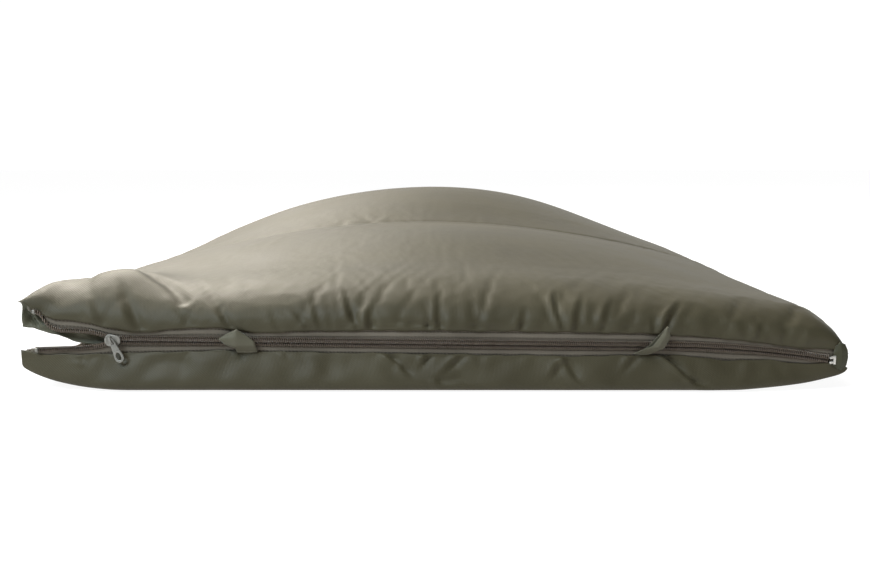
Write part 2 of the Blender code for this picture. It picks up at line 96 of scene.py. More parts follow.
def make_camera():
    data = bpy.data.cameras.new("camera")
    data.lens = 34.0
    data.sensor_width = 36.0
    data.clip_start = 0.01
    camera = add_object("camera", data)
    camera.location = (0.0, -1.7803, 0.2237)
    camera.rotation_euler = (math.radians(90.0 - 9.13), 0.0, 0.0)
    bpy.context.scene.camera = camera


def area_light(name, place, aim, size, power, colour):
    data = bpy.data.lights.new(name, "AREA")
    data.shape = "RECTANGLE"
    data.size, data.size_y = size
    data.energy = power
    data.color = colour
    lamp = add_object(name, data)
    lamp.location = place
    way = np.array(aim, float) - np.array(place, float)
    flat = math.hypot(way[0], way[1])
    lamp.rotation_euler = (math.atan2(flat, -way[2]), 0.0, math.atan2(way[1], way[0]) - math.pi / 2)


def make_stage():
    mesh = bpy.data.meshes.new("floor")
    reach, drop = 14.0, 0.0006
    corners = [(-reach, -reach), (reach, -reach), (reach, reach), (-reach, reach)]
    mesh.from_pydata([(x, y, -drop) for x, y in corners], [], [(0, 1, 2, 3)])
    floor = add_object("floor", mesh)
    paint = bpy.data.materials.new("floor")
    paint.use_nodes = True
    put(paint.node_tree.nodes["Principled BSDF"], Base_Color=(0.20, 0.20, 0.20, 1.0),
        Roughness=0.95, Specular_IOR_Level=0.0, Emission_Color=(1.0, 1.0, 1.0, 1.0),
        Emission_Strength=0.93)
    mesh.materials.append(paint)

    # A background that is bright behind the bag and to its left, and dark in front
    world = bpy.data.worlds.new("studio")
    world.use_nodes = True
    nodes, links = world.node_tree.nodes, world.node_tree.links
    place = nodes.new("ShaderNodeTexCoord")
    split = nodes.new("ShaderNodeSeparateXYZ")
    links.new(place.outputs["Generated"], split.inputs[0])
    back = put(nodes.new("ShaderNodeMapRange"), From_Min=0.25, From_Max=0.60, To_Min=0.05,
               To_Max=1.05)
    back.interpolation_type = "SMOOTHSTEP"
    lean = nodes.new("ShaderNodeMath")
    lean.operation = "MULTIPLY_ADD"
    lean.inputs[1].default_value = -0.30
    links.new(split.outputs["X"], lean.inputs[0])
    links.new(split.outputs["Y"], lean.inputs[2])
    links.new(lean.outputs[0], back.inputs["Value"])
    sky = put(nodes["Background"], Color=(1.0, 1.0, 1.0, 1.0))
    links.new(back.outputs[0], sky.inputs["Strength"])
    bpy.context.scene.world = world
    bpy.context.scene.view_settings.view_transform = "Standard"

    area_light("key", (-1.3, 0.9, 2.1), (-0.15, -0.6, 0.1), (1.3, 1.3), 160.0, (1.0, 0.93, 0.82))
    area_light("soft", (-1.0, -2.2, 2.7), (-0.1, -0.9, 0.1), (1.8, 1.4), 56.0, (1.0, 0.96, 0.88))
    area_light("fill", (-1.5, -2.2, 1.7), (-0.40, -1.0, 0.05), (1.0, 0.8), 58.0, (0.72, 0.87, 1.0))


make_camera()
make_stage()


# ---------------------------------------------------------------- curves and surfaces


def clamp(value):
    return np.clip(value, 0.0, 1.0)


def bump(value, centre, width):
    return np.exp(-(((value - centre) / width) ** 2))


def quarter(distance, radius):
    """A rounded edge's height, from 0 at the edge to 1 one radius in from it."""
    return np.sqrt(1.0 - (1.0 - clamp(distance / radius)) ** 2)


def smooth_line(points):
    """A function that reads a smooth line through points (position, value)."""
    at, value = np.array(points, float).T
    slope = np.gradient(value, at)

    def read(where):
        where = np.clip(where, at[0], at[-1])
        i = np.clip(np.searchsorted(at, where, side="right") - 1, 0, len(at) - 2)
        width = at[i + 1] - at[i]
        t = (where - at[i]) / width
        low = (2 * t**3 - 3 * t**2 + 1) * value[i] + (t**3 - 2 * t**2 + t) * width * slope[i]
        high = (3 * t**2 - 2 * t**3) * value[i + 1] + (t**3 - t**2) * width * slope[i + 1]
        return low + high

    return read


def zip_height(x):
    return 0.0462 - 0.0115 * x - 0.50 * np.maximum(0.0, x - 0.235) ** 2


SIDE_ZIP = float(zip_height(-HALF_WIDTH))

# Height of the upper face along the middle: distance from the foot, height
CREST = smooth_line([
    (0.00, 0.094), (0.07, 0.104), (0.13, 0.114), (0.20, 0.127), (0.29, 0.1355), (0.365, 0.137),
    (0.40, 0.144), (0.46, 0.158), (0.57, 0.1755), (0.68, 0.171), (0.73, 0.1655), (0.80, 0.163),
    (1.00, 0.158), (1.10, 0.150), (1.20, 0.150), (1.40, 0.141), (1.46, 0.136), (1.60, 0.134),
    (1.80, 0.124), (2.01, 0.114),
])
INNER_CREST = smooth_line([
    (0.00, 0.058), (0.20, 0.086), (0.57, 0.126), (1.20, 0.112), (1.60, 0.102), (2.01, 0.094),
])
# Height of the upper cover's sewn edge across the foot
UPPER_EDGE = smooth_line([
    (-0.402, 0.0868), (-0.394, 0.0856), (-0.3895, 0.0803), (-0.374, 0.0719), (-0.346, 0.0682),
    (-0.3185, 0.0616), (-0.285, 0.0569), (-0.254, 0.0597), (-0.2095, 0.0612), (-0.180, 0.0569),
    (-0.130, 0.0579), (-0.034, 0.0585), (0.063, 0.0577), (0.159, 0.0563), (0.208, 0.0552),
    (0.256, 0.0523), (0.305, 0.0478), (0.335, 0.0435), (0.357, 0.0410), (0.385, 0.0400),
    (0.402, 0.0360),
])
LOWER_EDGE = smooth_line([
    (-0.402, 0.0405), (-0.392, 0.0370), (-0.364, 0.0349), (-0.325, 0.0359), (-0.2765, 0.0369),
    (-0.210, 0.0389), (-0.131, 0.0374), (-0.034, 0.0359), (0.063, 0.0344), (0.160, 0.0333),
    (0.223, 0.0345), (0.253, 0.0324), (0.284, 0.0292), (0.319, 0.0295), (0.361, 0.0258),
    (0.386, 0.0262), (0.402, 0.0220),
])
# How far each half of the foot chain stands off the zip's line near the open corner
UPPER_LIFT = smooth_line([
    (-0.402, 0.0265), (-0.390, 0.0255), (-0.3796, 0.0209), (-0.376, 0.0145), (-0.3715, 0.0102),
    (-0.365, 0.0078), (-0.348, 0.0068), (-0.332, 0.0056), (-0.321, 0.0028), (-0.3125, 0.0),
    (-0.300, 0.0),
])
LOWER_LIFT = smooth_line([
    (-0.402, -0.0092), (-0.390, -0.0086), (-0.365, -0.0076), (-0.345, -0.0064),
    (-0.325, -0.0038), (-0.3125, 0.0), (-0.300, 0.0),
])
# The side chain's lower half near the open corner: distance from the foot, height
SIDE_LOWER = smooth_line([
    (0.00, 0.0390), (0.02, 0.0350), (0.05, 0.0250), (0.10, 0.0175), (0.14, 0.0165),
    (0.18, 0.0260), (0.21, 0.0400), (0.2355, SIDE_ZIP), (0.30, SIDE_ZIP), (2.0, SIDE_ZIP),
])


def fade_along(y):
    """1 at the foot, 0 from the side slider on."""
    return clamp((MOUTH_Y - y) / (MOUTH_Y + HALF_LENGTH)) ** 1.5


def side_upper(y):
    return SIDE_ZIP + float(UPPER_LIFT(-HALF_WIDTH)) * fade_along(y)


def side_lower(y):
    return SIDE_LOWER(y + HALF_LENGTH)


def side_upper_edge(y):
    top = float(UPPER_EDGE(-EDGE_X))
    return SIDE_ZIP + RIM + (top - SIDE_ZIP - RIM) * fade_along(y)


def side_lower_edge(y):
    return np.maximum(side_lower(y) - RIM, 0.0085)


def dome(x):
    """How the upper panel's height falls off from the middle to the sides."""
    inside = clamp(1.0 - ((x + 0.006) / HALF_WIDTH) ** 2)
    return inside ** np.where(x < 0.0, 1.2, 1.32)


def shoulder(x, foot):
    """Height of the upper panel just inside its side seams."""
    across = 0.0865 - 0.013 * clamp(0.5 + x / HALF_WIDTH / 2)
    drop = 0.006 * clamp((foot - 0.16) / 0.12) * clamp(-x / 0.3) + 0.006 * clamp((foot - 0.8) / 0.6)
    return across - drop


def nearness(foot, side):
    """0 by the foot edge and 1 by the side edge."""
    return foot / (foot + np.maximum(side, 1e-6))


def sewn_rim(x, y, foot, left, right, foot_edge, side_edge):
    """Height of a panel's sewn rim, which goes over from the foot's edge to a side's."""
    by_left, by_right = nearness(foot, left), nearness(foot, right)
    edge = foot_edge(x)
    left_rim = edge * (1 - by_left) + side_edge(y) * by_left
    right_rim = edge * (1 - by_right) + float(foot_edge(EDGE_X)) * by_right
    return np.where(x < 0.0, left_rim, right_rim)


def upper_outer(x, foot):
    """The upper cover's outer face at places across and distances from the foot edge."""
    y = -HALF_LENGTH - SKIN_OUT + foot
    left, right = x + EDGE_X, EDGE_X - x
    rim = sewn_rim(x, y, foot, left, right, UPPER_EDGE, side_upper_edge)
    low = shoulder(x, foot)
    top = low + (CREST(foot) - low) * dome(x)
    top = top + 0.0205 * bump(x, -0.326, 0.050) * bump(foot, 0.055, 0.055)
    top = top + 0.0140 * bump(x, -0.390, 0.022) * bump(foot, 0.020, 0.060)
    foot_radius = FOOT_ROUNDING - 0.022 * clamp((x - 0.18) / 0.2)
    left_radius = 0.055 - 0.034 * bump(foot, 0.0, 0.12)
    round_in = quarter(left, left_radius) * quarter(right, 0.040) * quarter(foot, foot_radius)
    z = rim + (top - rim) * round_in
    out = 0.0050 * np.sin(np.pi * clamp((z - rim) / 0.045)) ** 1.5 * clamp(1.0 - foot / 0.05)
    return np.stack([x + 0 * z, y - out, z], -1)


def upper_inner(x, foot):
    """The upper lining, above the sleeping space."""
    y = -HALF_LENGTH + SEAM_ALLOWANCE + foot * (1.0 - SEAM_ALLOWANCE / 2)
    inner_x = x * (1.0 - (SEAM_ALLOWANCE + SKIN_OUT) / EDGE_X)
    edge = EDGE_X - np.abs(inner_x)
    near = clamp(1.0 - edge / 0.12)
    side_lift = np.where(inner_x < 0, side_upper_edge(y) - SIDE_ZIP - RIM, 0.0) * near**2
    foot_lift = (UPPER_EDGE(inner_x) - zip_height(inner_x) - RIM) * clamp(1 - foot / 0.10) ** 2
    rim = zip_height(inner_x) + RIM + 0.001
    lift = np.maximum(0.0, INNER_CREST(foot) - rim) * dome(inner_x)
    return np.stack([inner_x, y, rim + lift + np.maximum(side_lift, foot_lift)], -1)


def lower_outer(x, foot):
    """The lower cover's outer face: its foot and side faces, and the flat underside."""
    y = -HALF_LENGTH - SKIN_OUT + foot
    left, right = x + EDGE_X, EDGE_X - x
    rim = sewn_rim(x, y, foot, left, right, LOWER_EDGE, side_lower_edge)
    down = quarter(left, 0.100) * quarter(right, 0.130)
    turn = np.pi * clamp(foot / LOWER_ROLL)
    z = rim - (rim - 0.0004) * down * (1 - np.cos(turn)) / 2
    belly = 0.0125 * np.sin(np.pi * clamp(foot / LOWER_ROLL) ** 1.9)
    belly = belly * clamp((left - 0.004) / 0.10) * clamp((right - 0.01) / 0.10)
    back = np.minimum(foot, LOWER_ROLL)
    return np.stack([x + 0 * z, y - back - belly, z], -1)


def lower_inner(x, foot):
    """The lower lining, on which the sleeper lies."""
    y = -HALF_LENGTH + SEAM_ALLOWANCE + foot * (1.0 - SEAM_ALLOWANCE / 2)
    inner_x = x * (1.0 - (SEAM_ALLOWANCE + SKIN_OUT) / EDGE_X)
    left = inner_x + HALF_WIDTH - SEAM_ALLOWANCE
    right = HALF_WIDTH - SEAM_ALLOWANCE - inner_x
    rim = sewn_rim(inner_x, y, foot, left, right, LOWER_EDGE, side_lower_edge) - 0.001
    soft = 0.17
    round_in = clamp(left / soft) ** 0.8 * quarter(right, 0.15) * quarter(foot, 0.10)
    return np.stack([inner_x, y, rim + (PAD_THICKNESS - rim) * round_in], -1)


# ---------------------------------------------------------------- mesh helpers


def mesh_object(name, points, faces, slot=None, material=None):
    mesh = bpy.data.meshes.new(name)
    mesh.from_pydata(np.asarray(points, float).reshape(-1, 3).tolist(), [], faces)
    mesh.validate()
    work = bmesh.new()
    work.from_mesh(mesh)
    bmesh.ops.recalc_face_normals(work, faces=list(work.faces))
    work.to_mesh(mesh)
    work.free()
    mesh.shade_smooth()
    made = add_object(name, mesh)
    if material is not None:
        mesh.materials.append(material)
    return made


def grid_faces(rows, columns, start=0, wrap_columns=False):
    """Quads over a grid of points stored row by row."""
    index = np.arange(rows * columns).reshape(rows, columns) + start
    if wrap_columns:
        index = np.concatenate([index, index[:, :1]], 1)
    quads = np.stack([index[:-1, :-1], index[1:, :-1], index[1:, 1:], index[:-1, 1:]], -1)
    return quads.reshape(-1, 4).tolist()


def closed_slab(name, first, second, slot, material):
    """A closed mesh between two grids of the same size, joined round their borders."""
    rows, columns, _ = first.shape
    count = rows * columns
    faces = grid_faces(rows, columns) + grid_faces(rows, columns, count)
    index = np.arange(count).reshape(rows, columns)
    ring = np.concatenate([index[:-1, 0], index[-1, :-1], index[:0:-1, -1], index[0, :0:-1]])
    following = np.roll(ring, -1)
    faces += np.stack([ring, following, following + count, ring + count], -1).tolist()
    points = np.concatenate([first.reshape(-1, 3), second.reshape(-1, 3)])
    return mesh_object(name, points, faces, slot, material)


def grid_normals(points):
    """Unit normals of a grid of points, upward where the grid lies flat."""
    along = np.gradient(points, axis=0)
    across = np.gradient(points, axis=1)
    normal = np.cross(along, across)
    return normal / np.maximum(np.linalg.norm(normal, axis=-1, keepdims=True), 1e-12)


def arc_lengths(points):
    """Distance along each row of a grid from its first point."""
    step = np.linalg.norm(np.diff(points, axis=1), axis=-1)
    return np.concatenate([np.zeros((len(points), 1)), np.cumsum(step, 1)], 1)


def cables(points, radius, sides):
    """Points and faces of a round cord along a line of points."""
    line = np.asarray(points, float)
    run = np.gradient(line, axis=0)
    run /= np.maximum(np.linalg.norm(run, axis=1, keepdims=True), 1e-12)
    guide = np.where(np.abs(run[:, 2:3]) > 0.9, [[0.0, 1.0, 0.0]], [[0.0, 0.0, 1.0]])
    side = np.cross(run, guide)
    side /= np.maximum(np.linalg.norm(side, axis=1, keepdims=True), 1e-12)
    up = np.cross(side, run)
    turn = np.arange(sides) * 2 * math.pi / sides
    ring = np.cos(turn)[None, :, None] * side[:, None] + np.sin(turn)[None, :, None] * up[:, None]
    radii = np.broadcast_to(np.asarray(radius, float), (len(line),))
    made = line[:, None] + ring * radii[:, None, None]
    last = (len(line) - 1) * sides
    faces = grid_faces(len(line), sides, 0, True)
    faces += [list(range(sides)), list(range(last, last + sides))]
    return made.reshape(-1, 3), faces


def gather(parts):
    """One list of points and faces from several."""
    points, faces, start = [], [], 0
    for part_points, part_faces in parts:
        part_points = np.asarray(part_points, float).reshape(-1, 3)
        points.append(part_points)
        faces += [[i + start for i in face] for face in part_faces]
        start += len(part_points)
    return np.concatenate(points), faces


# ---------------------------------------------------------------- materials


def ramp(nodes, links, source, low, high, at=(0.3, 0.7)):
    made = nodes.new("ShaderNodeValToRGB")
    made.color_ramp.elements[0].position = at[0]
    made.color_ramp.elements[1].position = at[1]
    made.color_ramp.elements[0].color = (*low, 1.0)
    made.color_ramp.elements[1].color = (*high, 1.0)
    links.new(source, made.inputs["Fac"])
    return made.outputs["Color"]


def new_material(name):
    """A material with its nodes, links, main shader and object coordinates."""
    made = bpy.data.materials.new(name)
    made.use_nodes = True
    nodes, links = made.node_tree.nodes, made.node_tree.links
    place = nodes.new("ShaderNodeTexCoord").outputs["Object"]
    return made, nodes, links, nodes["Principled BSDF"], place


def noise(nodes, links, place, scale, detail):
    made = put(nodes.new("ShaderNodeTexNoise"), Scale=scale, Detail=detail)
    links.new(place, made.inputs["Vector"])
    return made.outputs["Fac"]


def vary_roughness(nodes, links, source, shader, middle, spread):
    made = put(nodes.new("ShaderNodeMapRange"), To_Min=middle - spread, To_Max=middle + spread)
    links.new(source, made.inputs["Value"])
    links.new(made.outputs[0], shader.inputs["Roughness"])


def relief(nodes, links, source, strength, distance):
    made = put(nodes.new("ShaderNodeBump"), Strength=strength, Distance=distance)
    links.new(source, made.inputs["Height"])
    return made


def ribs(nodes, links, place, way, turns, weave):
    """Fine parallel ribs across a direction, as a sine wave."""
    along = nodes.new("ShaderNodeVectorMath")
    along.operation = "DOT_PRODUCT"
    length = math.sqrt(sum(v * v for v in way))
    along.inputs[1].default_value = [v / length / weave * turns * math.pi for v in way]
    links.new(place, along.inputs[0])
    wave = nodes.new("ShaderNodeMath")
    wave.operation = "SINE"
    links.new(along.outputs["Value"], wave.inputs[0])
    return wave.outputs[0]


def cloth(name, dark, light, rough, sheen, weave, twill=(1.0, 0.0, 1.0), crinkle=0.25):
    """Woven cloth: patchy colour, fine twill lines and small creases.

    weave is the distance between the twill's lines and twill the way across them.
    """
    made, nodes, links, shader, place = new_material(name)
    put(shader, Sheen_Weight=sheen, Sheen_Roughness=0.35, Sheen_Tint=(0.86, 0.84, 0.74, 1.0),
        Specular_IOR_Level=0.20)
    patches = noise(nodes, links, place, 14.0, 5.0)
    lines = ribs(nodes, links, place, twill, 2, weave)
    crossed = ribs(nodes, links, place, (twill[0], 1.3, -twill[2]), 1.7, weave)
    thread = nodes.new("ShaderNodeMath")
    thread.operation = "MULTIPLY_ADD"
    thread.inputs[1].default_value = 0.5
    links.new(crossed, thread.inputs[0])
    links.new(lines, thread.inputs[2])

    mix = nodes.new("ShaderNodeMix")
    mix.data_type = "RGBA"
    mix.blend_type = "MULTIPLY"
    mix.inputs[0].default_value = 0.35
    links.new(ramp(nodes, links, patches, dark, light), mix.inputs[6])
    tone = ramp(nodes, links, thread.outputs[0], (0.86, 0.86, 0.86), (1.06, 1.06, 1.06), (0.0, 1.0))
    links.new(tone, mix.inputs[7])
    links.new(mix.outputs[2], shader.inputs["Base Color"])
    vary_roughness(nodes, links, patches, shader, rough, 0.07)

    creases = noise(nodes, links, place, 60.0, 4.0)
    soft = relief(nodes, links, creases, crinkle, 0.0015)
    fine = relief(nodes, links, thread.outputs[0], 0.22, 0.0002)
    links.new(soft.outputs[0], fine.inputs["Normal"])
    links.new(fine.outputs[0], shader.inputs["Normal"])
    return made


def hard(name, dark, light, rough, metallic):
    """Cast metal or moulded plastic with a fine, slightly worn surface."""
    made, nodes, links, shader, place = new_material(name)
    put(shader, Metallic=metallic)
    speckle = noise(nodes, links, place, 900.0, 3.0)
    links.new(ramp(nodes, links, speckle, dark, light), shader.inputs["Base Color"])
    vary_roughness(nodes, links, speckle, shader, rough, 0.08)
    raised = relief(nodes, links, speckle, 0.25, 0.0002)
    links.new(raised.outputs[0], shader.inputs["Normal"])
    return made


SHELL = cloth("shell_cloth", (0.045, 0.039, 0.022), (0.057, 0.050, 0.029), 0.56, 0.08, 0.0017,
              (1.0, 0.7, 1.0))
LINING = cloth("lining_cloth", (0.055, 0.054, 0.034), (0.090, 0.087, 0.057), 0.55, 0.3, 0.0016)
TAPE = cloth("tape_cloth", (0.100, 0.086, 0.066), (0.150, 0.130, 0.102), 0.75, 0.2, 0.0011,
             (1.0, 0.0, 0.2), 0.15)
RIBBON = cloth("ribbon_cloth", (0.075, 0.070, 0.047), (0.110, 0.103, 0.072), 0.6, 0.3, 0.0012,
               (1.0, 0.0, 1.0), 0.1)
BINDING = cloth("binding_cloth", (0.036, 0.035, 0.020), (0.050, 0.048, 0.028), 0.6, 0.1, 0.0014)
THREAD = cloth("thread", (0.020, 0.017, 0.012), (0.035, 0.030, 0.022), 0.6, 0.2, 0.0006)
COIL = hard("coil_nylon", (0.080, 0.060, 0.043), (0.140, 0.108, 0.080), 0.28, 0.0)
# The core cord is a real part, but its near-black colour is painted shade that darkens the gaps between the
# coil's turns.
PAINTED_SHADE_CORD = cloth("cord", (0.006, 0.005, 0.004), (0.012, 0.010, 0.008), 0.8, 0.0, 0.0008)
METAL = hard("slider_metal", (0.17, 0.163, 0.145), (0.27, 0.26, 0.23), 0.42, 0.5)
STOP = hard("stop_metal", (0.42, 0.40, 0.37), (0.62, 0.60, 0.56), 0.32, 0.6)


# ---------------------------------------------------------------- sculpting


def crease(across, along, line, depth, width, ridge):
    """A valley along a line of places on a surface, with a ridge on its right-hand side."""
    nearest = np.full(across.shape, 1e9)
    signed = np.zeros(across.shape)
    part = np.zeros(across.shape)
    line = np.array(line, float)
    lengths = np.linalg.norm(np.diff(line, axis=0), axis=1)
    total, done = lengths.sum(), 0.0
    for (ax, ay), (bx, by), length in zip(line[:-1], line[1:], lengths):
        ux, uy = (bx - ax) / length, (by - ay) / length
        at = np.clip((across - ax) * ux + (along - ay) * uy, 0.0, length)
        dx, dy = across - (ax + at * ux), along - (ay + at * uy)
        distance = np.hypot(dx, dy)
        closer = distance < nearest
        nearest = np.where(closer, distance, nearest)
        signed = np.where(closer, np.where(dx * uy - dy * ux > 0, 1.0, -1.0) * distance, signed)
        part = np.where(closer, (done + at) / total, part)
        done += length
    grown = clamp(part / 0.65) ** 1.3
    thin = width * (0.45 + 0.55 * grown)
    valley = -depth * np.exp(-((nearest / thin) ** 2))
    raised = ridge * depth * np.exp(-(((signed - 1.9 * thin) / (1.3 * thin)) ** 2))
    return (valley + raised) * grown


def pleats(across, along, span, count, depth, reach, seed):
    """Small random gathers that start at a seam and die out away from it."""
    chance = np.random.default_rng(seed)
    total = np.zeros(across.shape)
    for _ in range(count):
        start = chance.uniform(*span)
        slope = chance.uniform(-0.7, 0.7)
        width = chance.uniform(0.0028, 0.0075)
        high = chance.uniform(0.35, 1.0) * depth
        length = chance.uniform(0.4, 1.0) * reach
        offset = across - start - slope * along
        shape = np.exp(-((offset / width) ** 2))
        shape -= 0.45 * np.exp(-(((offset - 2 * width) / width / 1.6) ** 2))
        total -= high * shape * np.exp(-((along / length) ** 1.5))
    return total


def wander(across, along, size, seed):
    """A smooth random field of about unit height with lumps of a given size."""
    chance = np.random.default_rng(seed)
    total = np.zeros(np.broadcast(across, along).shape)
    for _ in range(26):
        angle = chance.uniform(0, 2 * math.pi)
        scale = 2 * math.pi / (size * chance.uniform(0.7, 1.8))
        phase = chance.uniform(0, 2 * math.pi)
        total += np.sin((across * math.cos(angle) + along * math.sin(angle)) * scale + phase)
    return total / 5.0


def cloth_shift(name, base, pinned, grow, pressure, goal, cap, frames=18):
    """How far each point of a grid moves when it is pinned at its seams, grown and inflated."""
    rows, columns, _ = base.shape
    piece = mesh_object(name, base, grid_faces(rows, columns))
    group = piece.vertex_groups.new(name="pin")
    flat = pinned.ravel()
    for value in np.unique(flat):
        group.add(np.flatnonzero(flat == value).tolist(), float(value), "REPLACE")
    modifier = piece.modifiers.new("cloth", "CLOTH")
    settings = modifier.settings
    settings.quality = 6
    settings.mass = 0.12
    settings.tension_stiffness = settings.compression_stiffness = 12.0
    settings.shear_stiffness = 3.0
    settings.bending_stiffness = 0.06
    settings.tension_damping = settings.compression_damping = 8.0
    settings.air_damping = 3.0
    settings.vertex_group_mass = "pin"
    settings.pin_stiffness = goal
    settings.shrink_min = -grow
    settings.use_pressure = True
    settings.uniform_pressure_force = pressure
    settings.effector_weights.gravity = 0.0
    modifier.collision_settings.use_collision = False
    modifier.collision_settings.use_self_collision = False
    modifier.point_cache.frame_start = 1
    modifier.point_cache.frame_end = frames
    scene = bpy.context.scene
    for step in range(1, frames + 1):
        scene.frame_set(step)
    view = bpy.context.evaluated_depsgraph_get()
    got = piece.evaluated_get(view).to_mesh()
    moved = np.empty(len(got.vertices) * 3, np.float32)
    got.vertices.foreach_get("co", moved)
    shift = moved.reshape(base.shape).astype(float) - base
    piece.modifiers.remove(modifier)
    bpy.data.objects.remove(piece, do_unlink=True)
    scene.frame_set(1)
    size = np.maximum(np.linalg.norm(shift, axis=-1, keepdims=True), 1e-9)
    shift *= np.minimum(size, cap) / size
    return np.nan_to_num(shift)


def finer(field, shape):
    """A grid of values read smoothly at more rows and columns."""
    for axis in (0, 1):
        count = shape[axis]
        old = np.linspace(0.0, 1.0, field.shape[axis])
        new = np.linspace(0.0, 1.0, count)
        i = np.clip(np.searchsorted(old, new, side="right") - 1, 0, len(old) - 2)
        t = (new - old[i]) / (old[i + 1] - old[i])
        t = t * t * (3 - 2 * t) * 0.5 + t * 0.5
        low, high = np.take(field, i, axis), np.take(field, i + 1, axis)
        form = [1] * field.ndim
        form[axis] = count
        t = t.reshape(form)
        field = low * (1 - t) + high * t
    return field


# ---------------------------------------------------------------- padded panels

LEFT_TURNS, RIGHT_TURNS, FOOT_TURNS = 13, 11, 25


def across_places():
    """Places across a cover, close together where its edges turn down."""
    spacing, left, right = 0.003, 0.055, 0.040
    start = -EDGE_X + left * (1 - np.cos(np.linspace(0, math.pi / 2, LEFT_TURNS)))
    end = EDGE_X - right * (1 - np.cos(np.linspace(math.pi / 2, 0, RIGHT_TURNS)))
    count = int((end[0] - start[-1]) / spacing)
    count += (LEFT_TURNS + count + RIGHT_TURNS) % 2
    return np.concatenate([start, np.linspace(start[-1], end[0], count + 1)[1:-1], end])


def foot_places(radius, near_step, near_end, far_count):
    turn = radius * (1 - np.cos(np.linspace(0, math.pi / 2, FOOT_TURNS)))
    near = np.arange(radius + near_step, near_end, near_step)
    far = np.linspace(near_end, 2.0 + SKIN_OUT, far_count)
    return np.concatenate([turn, near, far])


QUILT_SEAMS = [0.365, 0.73, 1.10, 1.46, 1.80]

# Each crease: its valley's path as (across, distance from the seam), depth, width and ridge
UPPER_CREASES = [
    # The valley behind the corner puff, then the gathers along the foot seam from left to right
    ([(-0.372, 0.150), (-0.345, 0.125), (-0.310, 0.105), (-0.290, 0.085), (-0.273, 0.069),
      (-0.255, 0.045), (-0.247, 0.032)], 0.0042, 0.0060, 0.20),
    ([(-0.342, 0.034), (-0.350, 0.060), (-0.357, 0.088), (-0.362, 0.120)], 0.0045, 0.0050, 0.0),
    ([(-0.348, 0.052), (-0.327, 0.018), (-0.321, 0.004)], 0.0016, 0.0050, 0.6),
    ([(-0.322, 0.072), (-0.306, 0.042), (-0.294, 0.022), (-0.282, -0.002)], 0.0036, 0.0052, 0.5),
    ([(-0.262, 0.036), (-0.248, 0.018), (-0.231, -0.002)], 0.0015, 0.0035, 0.5),
    ([(-0.222, 0.034), (-0.212, 0.022), (-0.194, -0.003)], 0.0018, 0.0030, 0.5),
    ([(-0.164, 0.036), (-0.150, 0.0)], 0.0012, 0.0030, 0.6),
    ([(-0.150, 0.038), (-0.136, 0.020), (-0.119, 0.0)], 0.0022, 0.0022, 0.6),
    ([(-0.124, 0.055), (-0.119, 0.032), (-0.109, 0.0)], 0.0018, 0.0028, 0.6),
    ([(-0.094, 0.064), (-0.088, 0.040), (-0.082, 0.022), (-0.071, -0.004)], 0.0040, 0.0030, 0.55),
    ([(-0.063, 0.026), (-0.062, 0.012), (-0.060, -0.004)], 0.0042, 0.0036, 0.8),
    ([(-0.056, 0.009), (-0.030, 0.008), (-0.004, 0.004)], 0.0028, 0.0030, 1.0),
    ([(-0.009, 0.020), (-0.007, -0.004)], 0.0018, 0.0020, 0.8),
    ([(0.006, 0.052), (0.003, 0.030), (0.004, 0.014), (0.006, -0.004)], 0.0030, 0.0034, 0.75),
    ([(0.026, 0.005), (0.045, 0.004), (0.064, 0.000)], 0.0022, 0.0032, 0.5),
    ([(0.088, 0.030), (0.086, 0.012), (0.083, -0.004)], 0.0028, 0.0032, 0.8),
    ([(0.124, 0.064), (0.117, 0.040), (0.119, 0.022), (0.124, 0.004)], 0.0034, 0.0025, 0.9),
    ([(0.150, 0.058), (0.142, 0.028), (0.135, -0.004)], 0.0022, 0.0032, 0.8),
    ([(0.180, 0.052), (0.169, 0.024), (0.161, -0.004)], 0.0022, 0.0032, 0.7),
    ([(0.172, 0.004), (0.190, 0.006), (0.206, 0.002)], 0.0018, 0.0030, 1.0),
    ([(0.210, 0.022), (0.214, -0.004)], 0.0026, 0.0026, 0.6),
    ([(0.248, 0.050), (0.234, 0.026), (0.226, 0.012), (0.221, -0.004)], 0.0044, 0.0028, 0.8),
    ([(0.324, 0.030), (0.316, 0.012), (0.311, -0.002)], 0.0020, 0.0030, 0.6),
    ([(0.371, 0.024), (0.362, -0.002)], 0.0018, 0.0034, 0.6),
]
